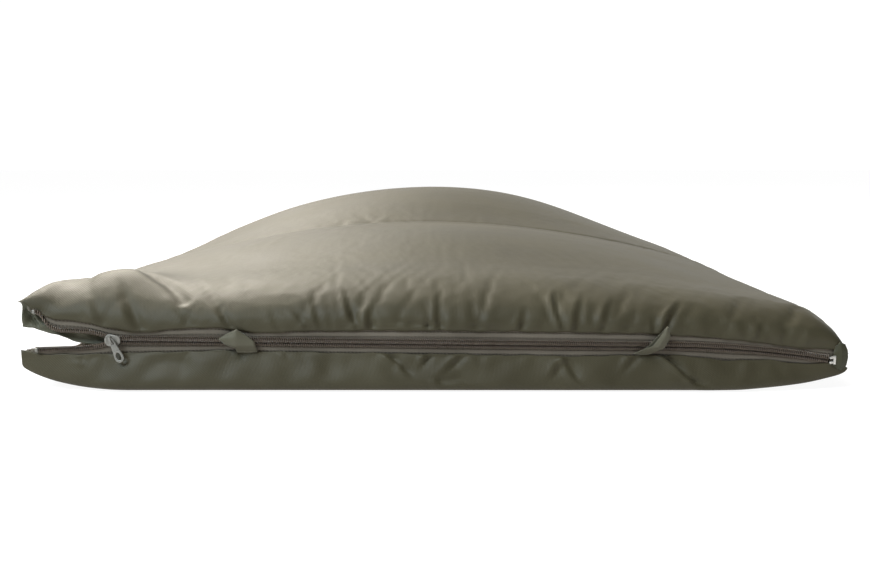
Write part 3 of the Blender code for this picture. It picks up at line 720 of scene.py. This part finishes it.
LOWER_CREASES = [
    # Places across, and distances down the foot face from the seam
    ([(-0.344, 0.004), (-0.338, 0.010)], 0.0018, 0.0022, 0.9),
    ([(-0.190, 0.0), (-0.187, 0.010)], 0.0018, 0.0020, 0.9),
    ([(-0.146, 0.0), (-0.142, 0.008)], 0.0018, 0.0018, 0.9),
    ([(-0.046, 0.0), (-0.038, 0.006), (-0.030, 0.014)], 0.0038, 0.0022, 0.9),
    ([(-0.003, 0.0), (-0.010, 0.008), (-0.018, 0.018)], 0.0044, 0.0024, 0.9),
    ([(-0.030, 0.014), (-0.018, 0.024)], 0.0030, 0.0026, 0.8),
    ([(0.029, 0.0), (0.014, 0.014), (0.000, 0.026)], 0.0036, 0.0030, 0.9),
    ([(0.006, 0.026), (0.022, 0.024), (0.038, 0.028)], 0.0036, 0.0036, 0.6),
    ([(0.126, 0.0), (0.128, 0.014)], 0.0036, 0.0020, 0.9),
    ([(0.124, 0.008), (0.114, 0.020), (0.104, 0.028)], 0.0030, 0.0030, 0.8),
    ([(0.132, 0.010), (0.138, 0.022), (0.146, 0.030)], 0.0030, 0.0034, 0.7),
    ([(0.196, 0.002), (0.184, 0.014), (0.176, 0.024)], 0.0030, 0.0032, 0.8),
    ([(0.224, 0.0), (0.236, 0.010), (0.244, 0.020), (0.262, 0.028)], 0.0058, 0.0026, 0.7),
    ([(0.250, 0.024), (0.272, 0.030)], 0.0040, 0.0030, 0.6),
    ([(-0.270, 0.012), (-0.290, 0.034)], 0.0014, 0.0090, 0.5),
    ([(-0.100, 0.010), (-0.115, 0.034)], 0.0014, 0.0080, 0.5),
    ([(0.318, 0.004), (0.300, 0.024)], 0.0014, 0.0060, 0.5),
]


def quilt_line(at, x):
    """A quilting seam's distance from the foot across the panel, slightly wavy."""
    return at + 0.004 * np.sin(x * 17.0 + at * 9.0) + 0.010 * (x / HALF_WIDTH) ** 2


def seam_profile(foot, x, depth, width):
    """The grooves that the sewn quilting seams pull into a panel."""
    total = 0.0
    for at in QUILT_SEAMS:
        line = quilt_line(at, x)
        total = total - depth * np.exp(-(((foot - line) / width) ** 2))
        total = total + 0.5 * depth * np.exp(-(((foot - line + 3 * width) / (2 * width)) ** 2))
    return total


def make_upper_cover():
    x = across_places()
    foot = foot_places(FOOT_ROUNDING, 0.0045, 0.46, 86)
    across, along = np.meshgrid(x, foot, indexing="ij")
    base = upper_outer(across, along)
    arc = arc_lengths(base)
    normal = grid_normals(base)
    normal *= np.sign(normal[len(x) // 2, len(foot) // 2, 2])

    # What the stuffing and the gathered seams do to the fabric, on every second point
    gathers = pleats(across, arc, (-0.39, 0.39), 60, 0.0014, 0.050, 5) * clamp(arc / 0.0045)
    soft = base + normal * gathers[..., None]
    coarse = soft[::2, ::2].copy()
    goal = np.full(coarse.shape[:2], 0.12)
    seam_rows = [int(np.argmin(np.abs(foot[::2] - at))) for at in QUILT_SEAMS]
    goal[:, seam_rows] = 0.9
    goal[0], goal[-1], goal[:, 0], goal[:, -1] = 1.0, 1.0, 1.0, 1.0
    shift = cloth_shift("upper_cloth", coarse, goal, 0.008, 0.8, 0.6, 0.006)
    gathered = 0.20 + 0.55 * clamp(1.0 - (along - 0.02) / 0.09)
    gathered *= 1.0 - 0.6 * bump(across, -0.33, 0.08) * bump(along, 0.0, 0.15)
    shape = finer(shift, base.shape[:2]) * gathered[..., None] + soft

    sculpt = np.zeros(across.shape)
    for line, depth, width, ridge in UPPER_CREASES:
        sculpt += crease(across, arc, line, depth, width, ridge)
    sculpt += 0.0012 * wander(across, along, 0.26, 3) * clamp(along / 0.10)
    sculpt += seam_profile(along, across, 0.0024, 0.0045)
    for index, at in enumerate(QUILT_SEAMS):
        beside = np.abs(along - quilt_line(at, across))
        sculpt += pleats(across, beside, (-0.38, 0.38), 34, 0.0007, 0.035, 40 + index)
    for side, seed in ((across + EDGE_X, 71), (EDGE_X - across, 72)):
        sculpt += pleats(along, side, (0.12, 1.98), 60, 0.0013, 0.040, seed) * clamp(along / 0.15)
    keep = clamp(np.minimum(across + EDGE_X, EDGE_X - across) / 0.006)
    keep *= clamp(arc / 0.0045)
    shape = shape + normal * (sculpt * keep)[..., None]
    # The sewn edge wavers a little
    shape[:, 0, 2] += 0.0004 * np.sin(x * 260.0) + 0.0003 * np.sin(x * 97.0 + 1.0)

    inside = upper_inner(across, along)
    inside[..., 2] += 0.0015
    cover = closed_slab("upper_cover", shape, inside, "shell", SHELL)
    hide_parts("top_shell", "top_batting")
    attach(cover, "upper")


def make_lower_cover():
    x = across_places()
    foot = np.concatenate([np.linspace(0.0, LOWER_ROLL, 23), np.linspace(0.026, 0.10, 12),
                           np.linspace(0.125, 2.002, 76)])
    across, along = np.meshgrid(x, foot, indexing="ij")
    base = lower_outer(across, along)
    arc = arc_lengths(base)
    normal = grid_normals(base)
    normal *= -np.sign(normal[len(x) // 2, len(foot) // 2, 2])
    sculpt = np.zeros(across.shape)
    for line, depth, width, ridge in LOWER_CREASES:
        sculpt += crease(across, arc, line[::-1], 0.85 * depth, width, ridge)
    sculpt += pleats(across, arc, (-0.38, 0.38), 40, 0.0010, 0.022, 8)
    sculpt += 0.0009 * wander(across, arc, 0.035, 6) * clamp(arc / 0.01)
    sculpt *= clamp((LOWER_ROLL - 0.002 - along) / 0.006)
    for side, seed in ((across + EDGE_X, 81), (EDGE_X - across, 82)):
        sculpt += pleats(along, side, (0.05, 1.98), 60, 0.0016, 0.030, seed) * clamp(along / 0.06)
    keep = clamp(np.minimum(across + EDGE_X, EDGE_X - across) / 0.006) * clamp(arc / 0.003)
    shape = base + normal * (sculpt * keep)[..., None]
    shape[..., 2] = np.maximum(shape[..., 2], 0.0003)
    shape[:, 0, 2] += 0.0005 * np.sin(x * 210.0 + 2.0) + 0.0004 * np.sin(x * 83.0)
    inside = lower_inner(across, along)
    inside[..., 2] -= 0.0015
    cover = closed_slab("lower_cover", shape, inside, "shell", SHELL)
    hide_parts("bottom_shell", "bottom_batting")
    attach(cover, "lower")


def make_lining(name, surface, node, body, seed):
    """A quilted lining sheet over a panel's inner face."""
    x = np.linspace(-EDGE_X, EDGE_X, 160)
    foot = np.concatenate([np.linspace(0.0, 0.30, 60), np.linspace(0.31, 2.002, 130)])
    across, along = np.meshgrid(x, foot, indexing="ij")
    points = surface(across, along)
    side = np.minimum(across + EDGE_X, EDGE_X - across)
    up = 1.0 if body == "lower" else -1.0
    puff = 0.0012 * wander(across, along, 0.09, seed) * clamp(side / 0.05) * clamp(along / 0.05)
    puff += seam_profile(along, across, 0.0025, 0.010)
    puff += pleats(across, along, (-0.39, 0.39), 50, 0.0022, 0.05, seed + 1)
    puff += pleats(along, side, (0.0, 2.0), 60, 0.0022, 0.05, seed + 2)
    points[..., 2] += up * puff * 0.8
    sheet = mesh_object(name, points, grid_faces(*across.shape), "lining", LINING)
    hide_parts(node)
    length = float(np.median(arc_lengths(points)[:, -1]))
    width = float(np.median(arc_lengths(points.transpose(1, 0, 2))[:, -1]))
    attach(sheet, body)


make_upper_cover()
make_lower_cover()
make_lining("upper_lining", upper_inner, "top_lining", "upper", 20)
make_lining("lower_lining", lower_inner, "bottom_lining", "lower", 30)


# ---------------------------------------------------------------- zips

FOOT_SPAN = (-0.388, 0.3835)
SIDE_SPAN = (-0.988, 0.986)


def chain_line(foot, upper):
    """A half chain's line, as a function of the place across (foot) or along (side)."""

    def read(at):
        at = np.asarray(at, float)
        if foot:
            lift = UPPER_LIFT if upper else LOWER_LIFT
            return np.stack([at, np.full(at.shape, -HALF_LENGTH), zip_height(at) + lift(at)], -1)
        chain = side_upper if upper else side_lower
        return np.stack([np.full(at.shape, -HALF_WIDTH), at, chain(at) + 0 * at], -1)

    return read


def make_coil(name, read, span, up, out_way, body, node, points_per_turn, sides):
    """One half of a coil zip: nylon wire wound over a cord, sewn to its tape; the cord's near-black colour
    is painted shade between the wire's turns.
    """
    turns = int((span[1] - span[0]) / PITCH)
    steps = turns * points_per_turn
    at = np.linspace(span[0], span[0] + turns * PITCH, steps + 1)
    phase = np.arange(steps + 1) * 2 * math.pi / points_per_turn + (math.pi if up > 0 else 0.0)
    half_high, half_deep, centre, out = 0.00225, 0.0010, 0.00195, 0.0019
    squash = np.sign(np.cos(phase)) * np.abs(np.cos(phase)) ** 0.8
    line = read(at)
    line[:, 2] += up * (centre + half_high * squash)
    out_way = np.array(out_way, float)
    line += out_way * (out + half_deep * np.sin(phase))[:, None]
    parts = [cables(line, WIRE_RADIUS, sides)]
    wire_faces = len(parts[0][1])
    core_at = np.linspace(span[0], span[1], 260)
    core = read(core_at)
    core[:, 2] += up * (centre + 0.0004)
    core += out_way * (out - 0.0004)
    parts.append(cables(core, CORE_RADIUS, 6))
    points, faces = gather(parts)
    coil = mesh_object(name, points, faces, "zip_coil", COIL)
    # The cord faces get the near-black painted shade, so the gaps between the turns look shadowed.
    coil.data.materials.append(PAINTED_SHADE_CORD)
    kinds = np.zeros(len(coil.data.polygons), np.int32)
    kinds[wire_faces:] = 1
    coil.data.polygons.foreach_set("material_index", kinds)
    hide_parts(node)
    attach(coil, body)


def stitches(name, lines, body):
    """Rows of short raised stitches along lines of points, all in one mesh."""
    length, gap, radius = 0.0024, 0.0012, 0.00024
    parts = []
    for line in lines:
        line = np.asarray(line, float)
        reach = np.concatenate([[0.0], np.cumsum(np.linalg.norm(np.diff(line, axis=0), axis=1))])
        starts = np.arange(0.002, reach[-1] - length, length + gap)
        for start in starts:
            at = start + np.linspace(0.0, length, 4)
            piece = np.stack([np.interp(at, reach, line[:, k]) for k in range(3)], -1)
            parts.append(cables(piece, radius * np.array([0.55, 1.0, 1.0, 0.55]), 5))
    points, faces = gather(parts)
    made = mesh_object(name, points, faces, None, THREAD)
    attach(made, body)


def make_tape(name, near_line, far_line, out_way, body, node, seed):
    """A woven zip tape between the coil and the panel's sewn edge, slightly rippled."""
    rows = 9
    part = np.linspace(0.0, 1.0, rows)[None, :, None]
    points = near_line[:, None] * (1 - part) + far_line[:, None] * part
    length = arc_lengths(near_line[None])[0][:, None]
    ripple = wander(length, part[..., 0] * 0.01, 0.035, seed) * 0.00028
    bow = 0.0006 * np.sin(np.pi * part[..., 0])
    way = np.array(out_way, float)
    points = points + way * (ripple * part[..., 0] + bow)[..., None]
    back = points - way * TAPE_THICKNESS
    tape = closed_slab(name, points, back, "zip_tape", TAPE)
    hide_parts(node)
    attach(tape, body)
    return points


def make_zip(where, at, out_way, edges, span, tuck, lowest, seed, winding, stitch_rows):
    """Both halves of a zip: tapes up to the panels' edges, coils and rows of stitches."""
    for body, up, edge in (("upper", 1, edges[0](at)), ("lower", -1, edges[1](at))):
        read = chain_line(where == "foot", body == "upper")
        near, far = read(at), read(at)
        near[:, 2] += up * 0.0013
        far[:, 2] = np.maximum(edge * up, (near[:, 2] + up * 0.0035) * up) * up + up * tuck
        far[:, 2] = np.maximum(far[:, 2], lowest)
        points = make_tape(f"{where}_tape_{body}", near, far, out_way, body,
                           f"{where}_zip_{body}_tape", seed)
        make_coil(f"{where}_coil_{body}", read, span, up, out_way, body,
                  f"{where}_zip_{body}_coil", *winding)
        lines = [points[:, row] + STITCH_OUT * np.array(out_way) for row in stitch_rows]
        stitches(f"{where}_tape_{body}_stitches", lines, body)


make_zip("foot", np.concatenate([np.linspace(-0.393, -0.300, 70), np.linspace(-0.2985, 0.390, 240)]),
         (0.0, -1.0, 0.0), (UPPER_EDGE, LOWER_EDGE), FOOT_SPAN, 0.0020, 0.0, 50, (8, 5), (3, 6))
make_zip("side", np.concatenate([np.linspace(-0.993, -0.76, 120), np.linspace(-0.757, 0.99, 300)]),
         (-1.0, 0.0, 0.0), (side_upper_edge, side_lower_edge), SIDE_SPAN, 0.0015, 0.002, 60, (6, 4),
         (5,))


# ---------------------------------------------------------------- draft flaps


def make_flap(name, top, depth, behind, out_way, body, node, seed):
    """A crumpled lining flap that hangs behind a chain: top is its sewn line."""
    rows = 22
    turn = np.linspace(0.0, 1.0, rows)
    way = np.array(out_way, float)
    length = arc_lengths(top[None])[0]
    a = length[:, None]
    points = top[:, None].repeat(rows, 1)
    points[..., 2] -= depth[:, None] * turn[None]
    crumple = wander(a, turn[None] * 0.03, 0.022, seed) * 0.0013
    crumple += wander(a, turn[None] * 0.02, 0.009, seed + 1) * 0.0005
    loose = 1.0 + 2.2 * np.exp(-((a - 0.01) / 0.030) ** 2)
    swell = 0.0035 * np.sin(np.pi * turn)[None]
    swell = swell + loose * crumple * np.sin(np.pi * clamp(turn * 1.1))[None]
    points -= way * (behind + swell)[..., None]
    points[..., 2] += 0.4 * crumple * turn[None]
    back = points - way * (0.0012 + 0.004 * np.sin(np.pi * turn))[None, :, None]
    flap = closed_slab(name, points, back, "lining", LINING)
    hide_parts(node)
    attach(flap, body)


def make_flaps():
    x = np.concatenate([np.linspace(-0.4015, -0.300, 84), np.linspace(-0.2985, 0.385, 200)])
    top = np.stack([x, np.full(x.shape, -HALF_LENGTH), UPPER_EDGE(x) - 0.001], -1)
    bottom = smooth_line([
        (-0.402, 0.0622), (-0.390, 0.0595), (-0.375, 0.0558), (-0.364, 0.0514), (-0.348, 0.0459),
        (-0.336, 0.0440), (-0.315, 0.0425), (-0.300, 0.0440), (0.0, 0.0400), (0.24, 0.0380), (0.39, 0.0240),
    ])(x)
    make_flap("foot_draft_flap", top, top[:, 2] - bottom, 0.0036, (0, -1, 0), "upper",
              "foot_draft_tube", 90)
    y = np.concatenate([np.linspace(-0.990, -0.76, 120), np.linspace(-0.755, 0.975, 240)])
    edge = side_upper_edge(y)
    top = np.stack([np.full(y.shape, -HALF_WIDTH), y, edge - 0.001], -1)
    depth = 0.0150 + 0.004 * fade_along(y)
    make_flap("side_draft_flap", top, depth, 0.0030, (-1, 0, 0), "upper", "side_draft_tube", 95)


make_flaps()


# ---------------------------------------------------------------- stops and sliders


def tilt(mesh, angle):
    """Turns a mesh in the plane of X and Z."""
    c, s = math.cos(angle), math.sin(angle)
    for vert in mesh.vertices:
        a, b = vert.co.x, vert.co.z
        vert.co.x, vert.co.z = a * c - b * s, a * s + b * c


def rounded_box(name, centre, size, radius, material, turn=0.0):
    """A box with rounded edges, by its middle and its full sizes."""
    work = bmesh.new()
    bmesh.ops.create_cube(work, size=1.0)
    for vert in work.verts:
        vert.co = [vert.co[i] * size[i] for i in range(3)]
    bmesh.ops.bevel(work, geom=list(work.edges), offset=radius, segments=3, profile=0.5,
                    affect="EDGES")
    mesh = bpy.data.meshes.new(name)
    work.to_mesh(mesh)
    work.free()
    mesh.shade_smooth()
    made = add_object(name, mesh)
    tilt(mesh, turn)
    for vert in mesh.vertices:
        vert.co = [vert.co[i] + centre[i] for i in range(3)]
    mesh.materials.append(material)
    return made


def join_pieces(name, pieces, node):
    """One piece made of several, in a node's place."""
    first = pieces[0]
    with bpy.context.temp_override(active_object=first, selected_editable_objects=pieces):
        bpy.ops.object.join()
    first.name = name
    first.data.name = name
    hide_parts(node)
    return first


def node_middle(node):
    low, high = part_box(node)
    return [(low[i] + high[i]) / 2 for i in range(3)]


def make_stops():
    """Folded metal clips over the coil ends, two prongs each."""
    for node, body in (
        ("foot_zip_upper_stop", "upper"), ("foot_zip_lower_stop", "lower"),
        ("side_zip_upper_foot_stop", "upper"), ("side_zip_lower_foot_stop", "lower"),
        ("side_zip_upper_head_stop", "upper"), ("side_zip_lower_head_stop", "lower"),
    ):
        middle = node_middle(node)
        foot = node.startswith("foot")
        if foot:
            middle[0] = FOOT_SPAN[0] + 0.002
        if foot or "foot_stop" in node:
            line = chain_line(foot, body == "upper")([middle[0 if foot else 1]])[0]
            middle[2] = float(line[2]) + (0.0022 if body == "upper" else -0.0022)
        long, deep = (0.0022, 0.0018) if foot else (0.0018, 0.0022)
        bar = rounded_box("stop_bar", middle, (long, deep, 0.0036), 0.0005, METAL)
        other = list(middle)
        other[0 if foot else 1] += 0.0012
        prong = rounded_box("stop_prong", other, (long * 0.4, deep * 1.25, 0.0044), 0.0004,
                            METAL)
        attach(join_pieces(node + "_clip", [bar, prong], node), body)

    x, y = 0.3865, -HALF_LENGTH - 0.0045
    z = float(zip_height(x))
    pieces = [rounded_box("bar", (x + 0.0008, y, z), (0.0024, 0.0022, 0.0088), 0.0006,
                          STOP)]
    for rise in (-0.0024, 0.0024):
        pieces.append(rounded_box("prong", (x - 0.0020, y - 0.0002, z + rise),
                                  (0.0042, 0.0020, 0.0022), 0.0005, STOP, 0.25))
    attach(join_pieces("foot_bottom_stop_clip", pieces, "foot_zip_bottom_stop"), "lower")


def extruded(name, outline, holes, back, front, radius, material):
    """A flat plate with rounded edges: an outline and holes in (along, up), between two depths."""
    curve = bpy.data.curves.new(name, "CURVE")
    curve.dimensions = "2D"
    curve.fill_mode = "BOTH"
    curve.extrude = (front - back) / 2 - radius
    curve.bevel_depth = radius
    curve.bevel_resolution = 2
    curve.offset = -radius
    for ring in (outline, *holes):
        line = curve.splines.new("POLY")
        line.points.add(len(ring) - 1)
        for point, (a, b) in zip(line.points, ring):
            point.co = (a, b, 0.0, 1.0)
        line.use_cyclic_u = True
    shape = add_object(name, curve)
    view = bpy.context.evaluated_depsgraph_get()
    mesh = bpy.data.meshes.new_from_object(shape.evaluated_get(view))
    bpy.data.objects.remove(shape, do_unlink=True)
    co = np.array([v.co for v in mesh.vertices], float)
    made_points = np.stack([co[:, 0], -(co[:, 2] + (front + back) / 2), co[:, 1]], -1)
    work = bmesh.new()
    work.from_mesh(mesh)
    for vert, point in zip(work.verts, made_points):
        vert.co = point
    bmesh.ops.remove_doubles(work, verts=list(work.verts), dist=0.000005)
    bmesh.ops.recalc_face_normals(work, faces=list(work.faces))
    work.to_mesh(mesh)
    work.free()
    mesh.shade_smooth()
    mesh.set_sharp_from_angle(angle=math.radians(50.0))
    mesh.materials.clear()
    mesh.materials.append(material)
    made = add_object(name, mesh)
    return made


def oval(x, z, wide, high, start, end, count):
    """Points round part of an oval, in (along, up)."""
    return [(x + wide * math.cos(a), z + high * math.sin(a)) for a in np.linspace(start, end, count)]


def slider_outline(half_long, nose, tail):
    """A slider plate's outline: round shoulders at its nose, narrower round tail."""
    ring = oval(-half_long + 0.0050, 0.0, 0.0050, nose, math.pi / 2, 3 * math.pi / 2, 13)
    ring += oval(half_long - 0.0035, 0.0, 0.0035, tail, -math.pi / 2, math.pi / 2, 11)
    return ring[::-1]


def place_piece(piece, place, turn, closing):
    """Moves a piece from the slider's own axes to its place on a zip."""
    c, s = math.cos(turn), math.sin(turn)
    for vert in piece.data.vertices:
        a, b, z = vert.co
        a *= closing
        vert.co = (a * c - b * s + place[0], a * s + b * c + place[1], z + place[2])
    if closing < 0:
        piece.data.flip_normals()
    return piece


def make_slider(prefix, place, turn, closing, lean):
    """A cast slider: two plates, flanges, a bridge with a ridged crown, and a drilled pull."""
    half = 0.00775
    front, back = 0.0037, -0.0009
    plate = extruded("plate", slider_outline(half, 0.0060, 0.0047), [], front, front + 0.0017,
                     0.0006, METAL)
    under = extruded("under", slider_outline(half, 0.0058, 0.0045), [], back - 0.0015, back,
                     0.0005, METAL)
    wedge = rounded_box("wedge", (-half + 0.0022, -(front + back) / 2, 0.0),
                        (0.0032, front - back + 0.001, 0.0011), 0.0003, METAL)
    flange = rounded_box("flange", (0.0006, -0.0030, -0.0054), (0.0105, 0.0018, 0.0007), 0.0002,
                         METAL)
    ridges = [
        rounded_box(f"ridge{k}", (-half + 0.0022 + 0.0013 * k, -front - 0.0017, 0.0),
                    (0.0006, 0.0006, 0.0078 - 0.0008 * k), 0.0002, METAL)
        for k in range(3)
    ]
    body = join_pieces(f"{prefix}_shell", [plate, under, wedge, flange, *ridges], f"{prefix}_body")
    body.data.shade_smooth()
    body.data.set_sharp_from_angle(angle=math.radians(45.0))

    base = front + 0.0014
    crown = np.array([
        (-0.0052, base), (-0.0049, base + 0.0020), (-0.0040, base + 0.0034),
        (-0.0024, base + 0.0042), (0.0, base + 0.0045), (0.0024, base + 0.0042),
        (0.0040, base + 0.0034), (0.0049, base + 0.0020), (0.0052, base),
    ])
    reach = 0.72
    arch = [(math.sin(lean) * -a * reach, -out, math.cos(lean) * a * reach) for a, out in crown]
    bail = mesh_object(f"{prefix}_bridge", *cables(arch, 0.00085, 10), None, METAL)
    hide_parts(f"{prefix}_bail")

    top = 0.0024
    outline = [(-0.0026, 0.0004), (-0.0016, 0.0015), (0.0016, 0.0015), (0.0026, 0.0004),
               (0.0029, -0.0050), (0.0036, -0.0110)]
    end, wide = -0.0225, 0.0046
    outline += oval(0.0, end + 0.0055, wide, 0.0055, 0.25, -math.pi - 0.25, 17)
    outline += [(-0.0036, -0.0110), (-0.0029, -0.0050)]
    hole = oval(0.0, end + 0.0062, 0.0022, 0.0040, 0, 2 * math.pi, 19)[:-1]
    eye = oval(0.0, -0.0022, 0.0013, 0.0019, 0, 2 * math.pi, 13)[:-1]
    pull = extruded(f"{prefix}_tab", outline[::-1], [hole, eye], base + top - 0.0008,
                    base + top + 0.0008, 0.0004, METAL)
    # The pull's tip hangs a little away from the bag
    for vert in pull.data.vertices:
        vert.co.y -= 0.0030 * min(1.0, max(0.0, -vert.co.z - 0.004) / 0.0185)
    tilt(pull.data, lean)
    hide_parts(f"{prefix}_pull")
    for piece, rider in ((body, prefix), (bail, prefix), (pull, prefix.replace("_slider", "_pull"))):
        place_piece(piece, place, turn, closing)
        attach(piece, rider)


make_stops()
make_slider("foot_slider", (FOOT_SLIDER_X, -HALF_LENGTH, float(zip_height(FOOT_SLIDER_X))), 0.0, 1,
            math.radians(26.0))
make_slider("side_foot_slider", (-HALF_WIDTH, SIDE_FOOT_SLIDER_Y, SIDE_ZIP), -math.pi / 2, -1, 0.0)
make_slider("side_head_slider", (-HALF_WIDTH, SIDE_HEAD_SLIDER_Y, SIDE_ZIP), -math.pi / 2, 1, 0.0)


# ---------------------------------------------------------------- ribbon loops


def ribbon_sheet(name, rows, node):
    """A folded ribbon from rows of points: across, distance out from the foot, height."""
    points = np.array(rows, float)
    points[..., 1] = -HALF_LENGTH - points[..., 1]
    points = finer(points, (points.shape[0] * 4, points.shape[1] * 4))
    normal = grid_normals(points)
    back = points - normal * RIBBON_THICKNESS
    made = closed_slab(name, points, back, "ribbon", RIBBON)
    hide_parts(node)
    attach(made, "lower")


def make_ribbons():
    # Rows run from the sewn end, up the front, over the fold and down behind
    left = [
        [(-0.1920, 0.0038, 0.0385), (-0.1910, 0.0040, 0.0385), (-0.1720, 0.0038, 0.0388)],
        [(-0.1925, 0.0060, 0.0430), (-0.1915, 0.0080, 0.0430), (-0.1725, 0.0060, 0.0425)],
        [(-0.2020, 0.0080, 0.0467), (-0.1920, 0.0112, 0.0455), (-0.1730, 0.0072, 0.0455)],
        [(-0.2080, 0.0078, 0.0520), (-0.1915, 0.0118, 0.0535), (-0.1738, 0.0068, 0.0485)],
        [(-0.1990, 0.0066, 0.0570), (-0.1905, 0.0090, 0.0611), (-0.1828, 0.0066, 0.0556)],
        [(-0.1960, 0.0052, 0.0540), (-0.1905, 0.0060, 0.0580), (-0.1850, 0.0052, 0.0540)],
        [(-0.1920, 0.0046, 0.0440), (-0.1840, 0.0048, 0.0450), (-0.1740, 0.0046, 0.0440)],
        [(-0.1920, 0.0038, 0.0375), (-0.1830, 0.0038, 0.0372), (-0.1730, 0.0038, 0.0375)],
    ]
    ribbon_sheet("left_loop", left, "ribbon_loop_left")
    right = [
        [(0.1925, 0.0040, 0.0368), (0.1990, 0.0042, 0.0360), (0.2066, 0.0040, 0.0360)],
        [(0.2000, 0.0090, 0.0418), (0.2060, 0.0085, 0.0410), (0.2125, 0.0068, 0.0396)],
        [(0.2086, 0.0118, 0.0458), (0.2140, 0.0124, 0.0450), (0.2200, 0.0096, 0.0432)],
        [(0.2158, 0.0106, 0.0548), (0.2200, 0.0118, 0.0545), (0.2258, 0.0090, 0.0540)],
        [(0.2224, 0.0084, 0.0634), (0.2230, 0.0088, 0.0637), (0.2236, 0.0082, 0.0632)],
        [(0.2190, 0.0068, 0.0590), (0.2215, 0.0066, 0.0585), (0.2238, 0.0066, 0.0580)],
        [(0.2060, 0.0052, 0.0440), (0.2120, 0.0050, 0.0440), (0.2180, 0.0050, 0.0440)],
        [(0.1960, 0.0044, 0.0366), (0.2030, 0.0044, 0.0360), (0.2100, 0.0042, 0.0362)],
    ]
    ribbon_sheet("right_loop", right, "ribbon_loop_right")


make_ribbons()


# ---------------------------------------------------------------- the folded seam


def make_fold():
    """The fabric that turns over along the right side, from the lower cover to the upper one."""
    y = np.concatenate([np.linspace(-1.0005, -0.90, 50), np.linspace(-0.895, 0.995, 260)])
    turn = np.linspace(0.0, 1.0, 17)
    low, high = float(LOWER_EDGE(EDGE_X)) + 0.001, float(UPPER_EDGE(EDGE_X)) + 0.002
    reach = 0.35 + 0.65 * clamp((y + 1.0) / 0.06)
    rows = []
    for at in turn:
        angle = math.pi * (at - 0.5)
        out = EDGE_X - 0.0035 + 0.0095 * math.cos(angle) * reach - 0.004 * (1 - reach)
        rise = (low + high) / 2 + (high - low) / 2 * 1.25 * math.sin(angle)
        rows.append(np.stack([out, y, np.full(y.shape, rise)], -1))
    points = np.stack(rows, 0)
    across = turn[:, None] * 0.03
    soft = 0.0008 * wander(y[None], across, 0.03, 77)
    soft = soft + pleats(y[None] + 0 * across, across, (-0.98, 0.98), 60, 0.0008, 0.03, 78)
    points[..., 0] += soft * np.sin(np.pi * turn)[:, None]
    # The fold's foot end tucks in behind the zip's end
    tuck = np.exp(-((y + 1.0) / 0.012) ** 2)
    points[..., 1] += 0.004 * tuck * (1 - np.sin(np.pi * turn)[:, None])
    inner = points.copy()
    inner[..., 0] -= 0.0016
    fold = closed_slab("side_fold", points, inner, "binding", BINDING)
    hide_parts("side_seam_binding")
    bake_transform(fold)

    # The small gusset across the foot at the fold
    gusset = np.array([
        [(0.3845, -1.0020, 0.0255), (0.3855, -1.0040, 0.0290), (0.3862, -1.0045, 0.0330),
         (0.3868, -1.0040, 0.0370), (0.3875, -1.0020, 0.0405)],
        [(0.3930, -1.0040, 0.0200), (0.3938, -1.0055, 0.0265), (0.3940, -1.0060, 0.0335),
         (0.3934, -1.0055, 0.0405), (0.3920, -1.0040, 0.0478)],
        [(0.3985, -1.0010, 0.0190), (0.4002, -1.0030, 0.0250), (0.4010, -1.0035, 0.0325),
         (0.4004, -1.0030, 0.0395), (0.3985, -1.0010, 0.0452)],
        [(0.4010, -0.9950, 0.0205), (0.4034, -0.9960, 0.0255), (0.4042, -0.9960, 0.0322),
         (0.4034, -0.9960, 0.0380), (0.4010, -0.9950, 0.0430)],
    ])
    points = finer(gusset, (22, 18))
    back = points + np.array([0.0, 0.0012, 0.0])
    small = closed_slab("foot_gusset", points, back, "binding", BINDING)
    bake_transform(small)


make_fold()

# ---------------------------------------------------------------- bindings and the end


for node in ("head_lower_binding", "head_upper_binding"):
    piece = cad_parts[node]
    piece.data.materials.clear()
    piece.data.materials.append(BINDING)
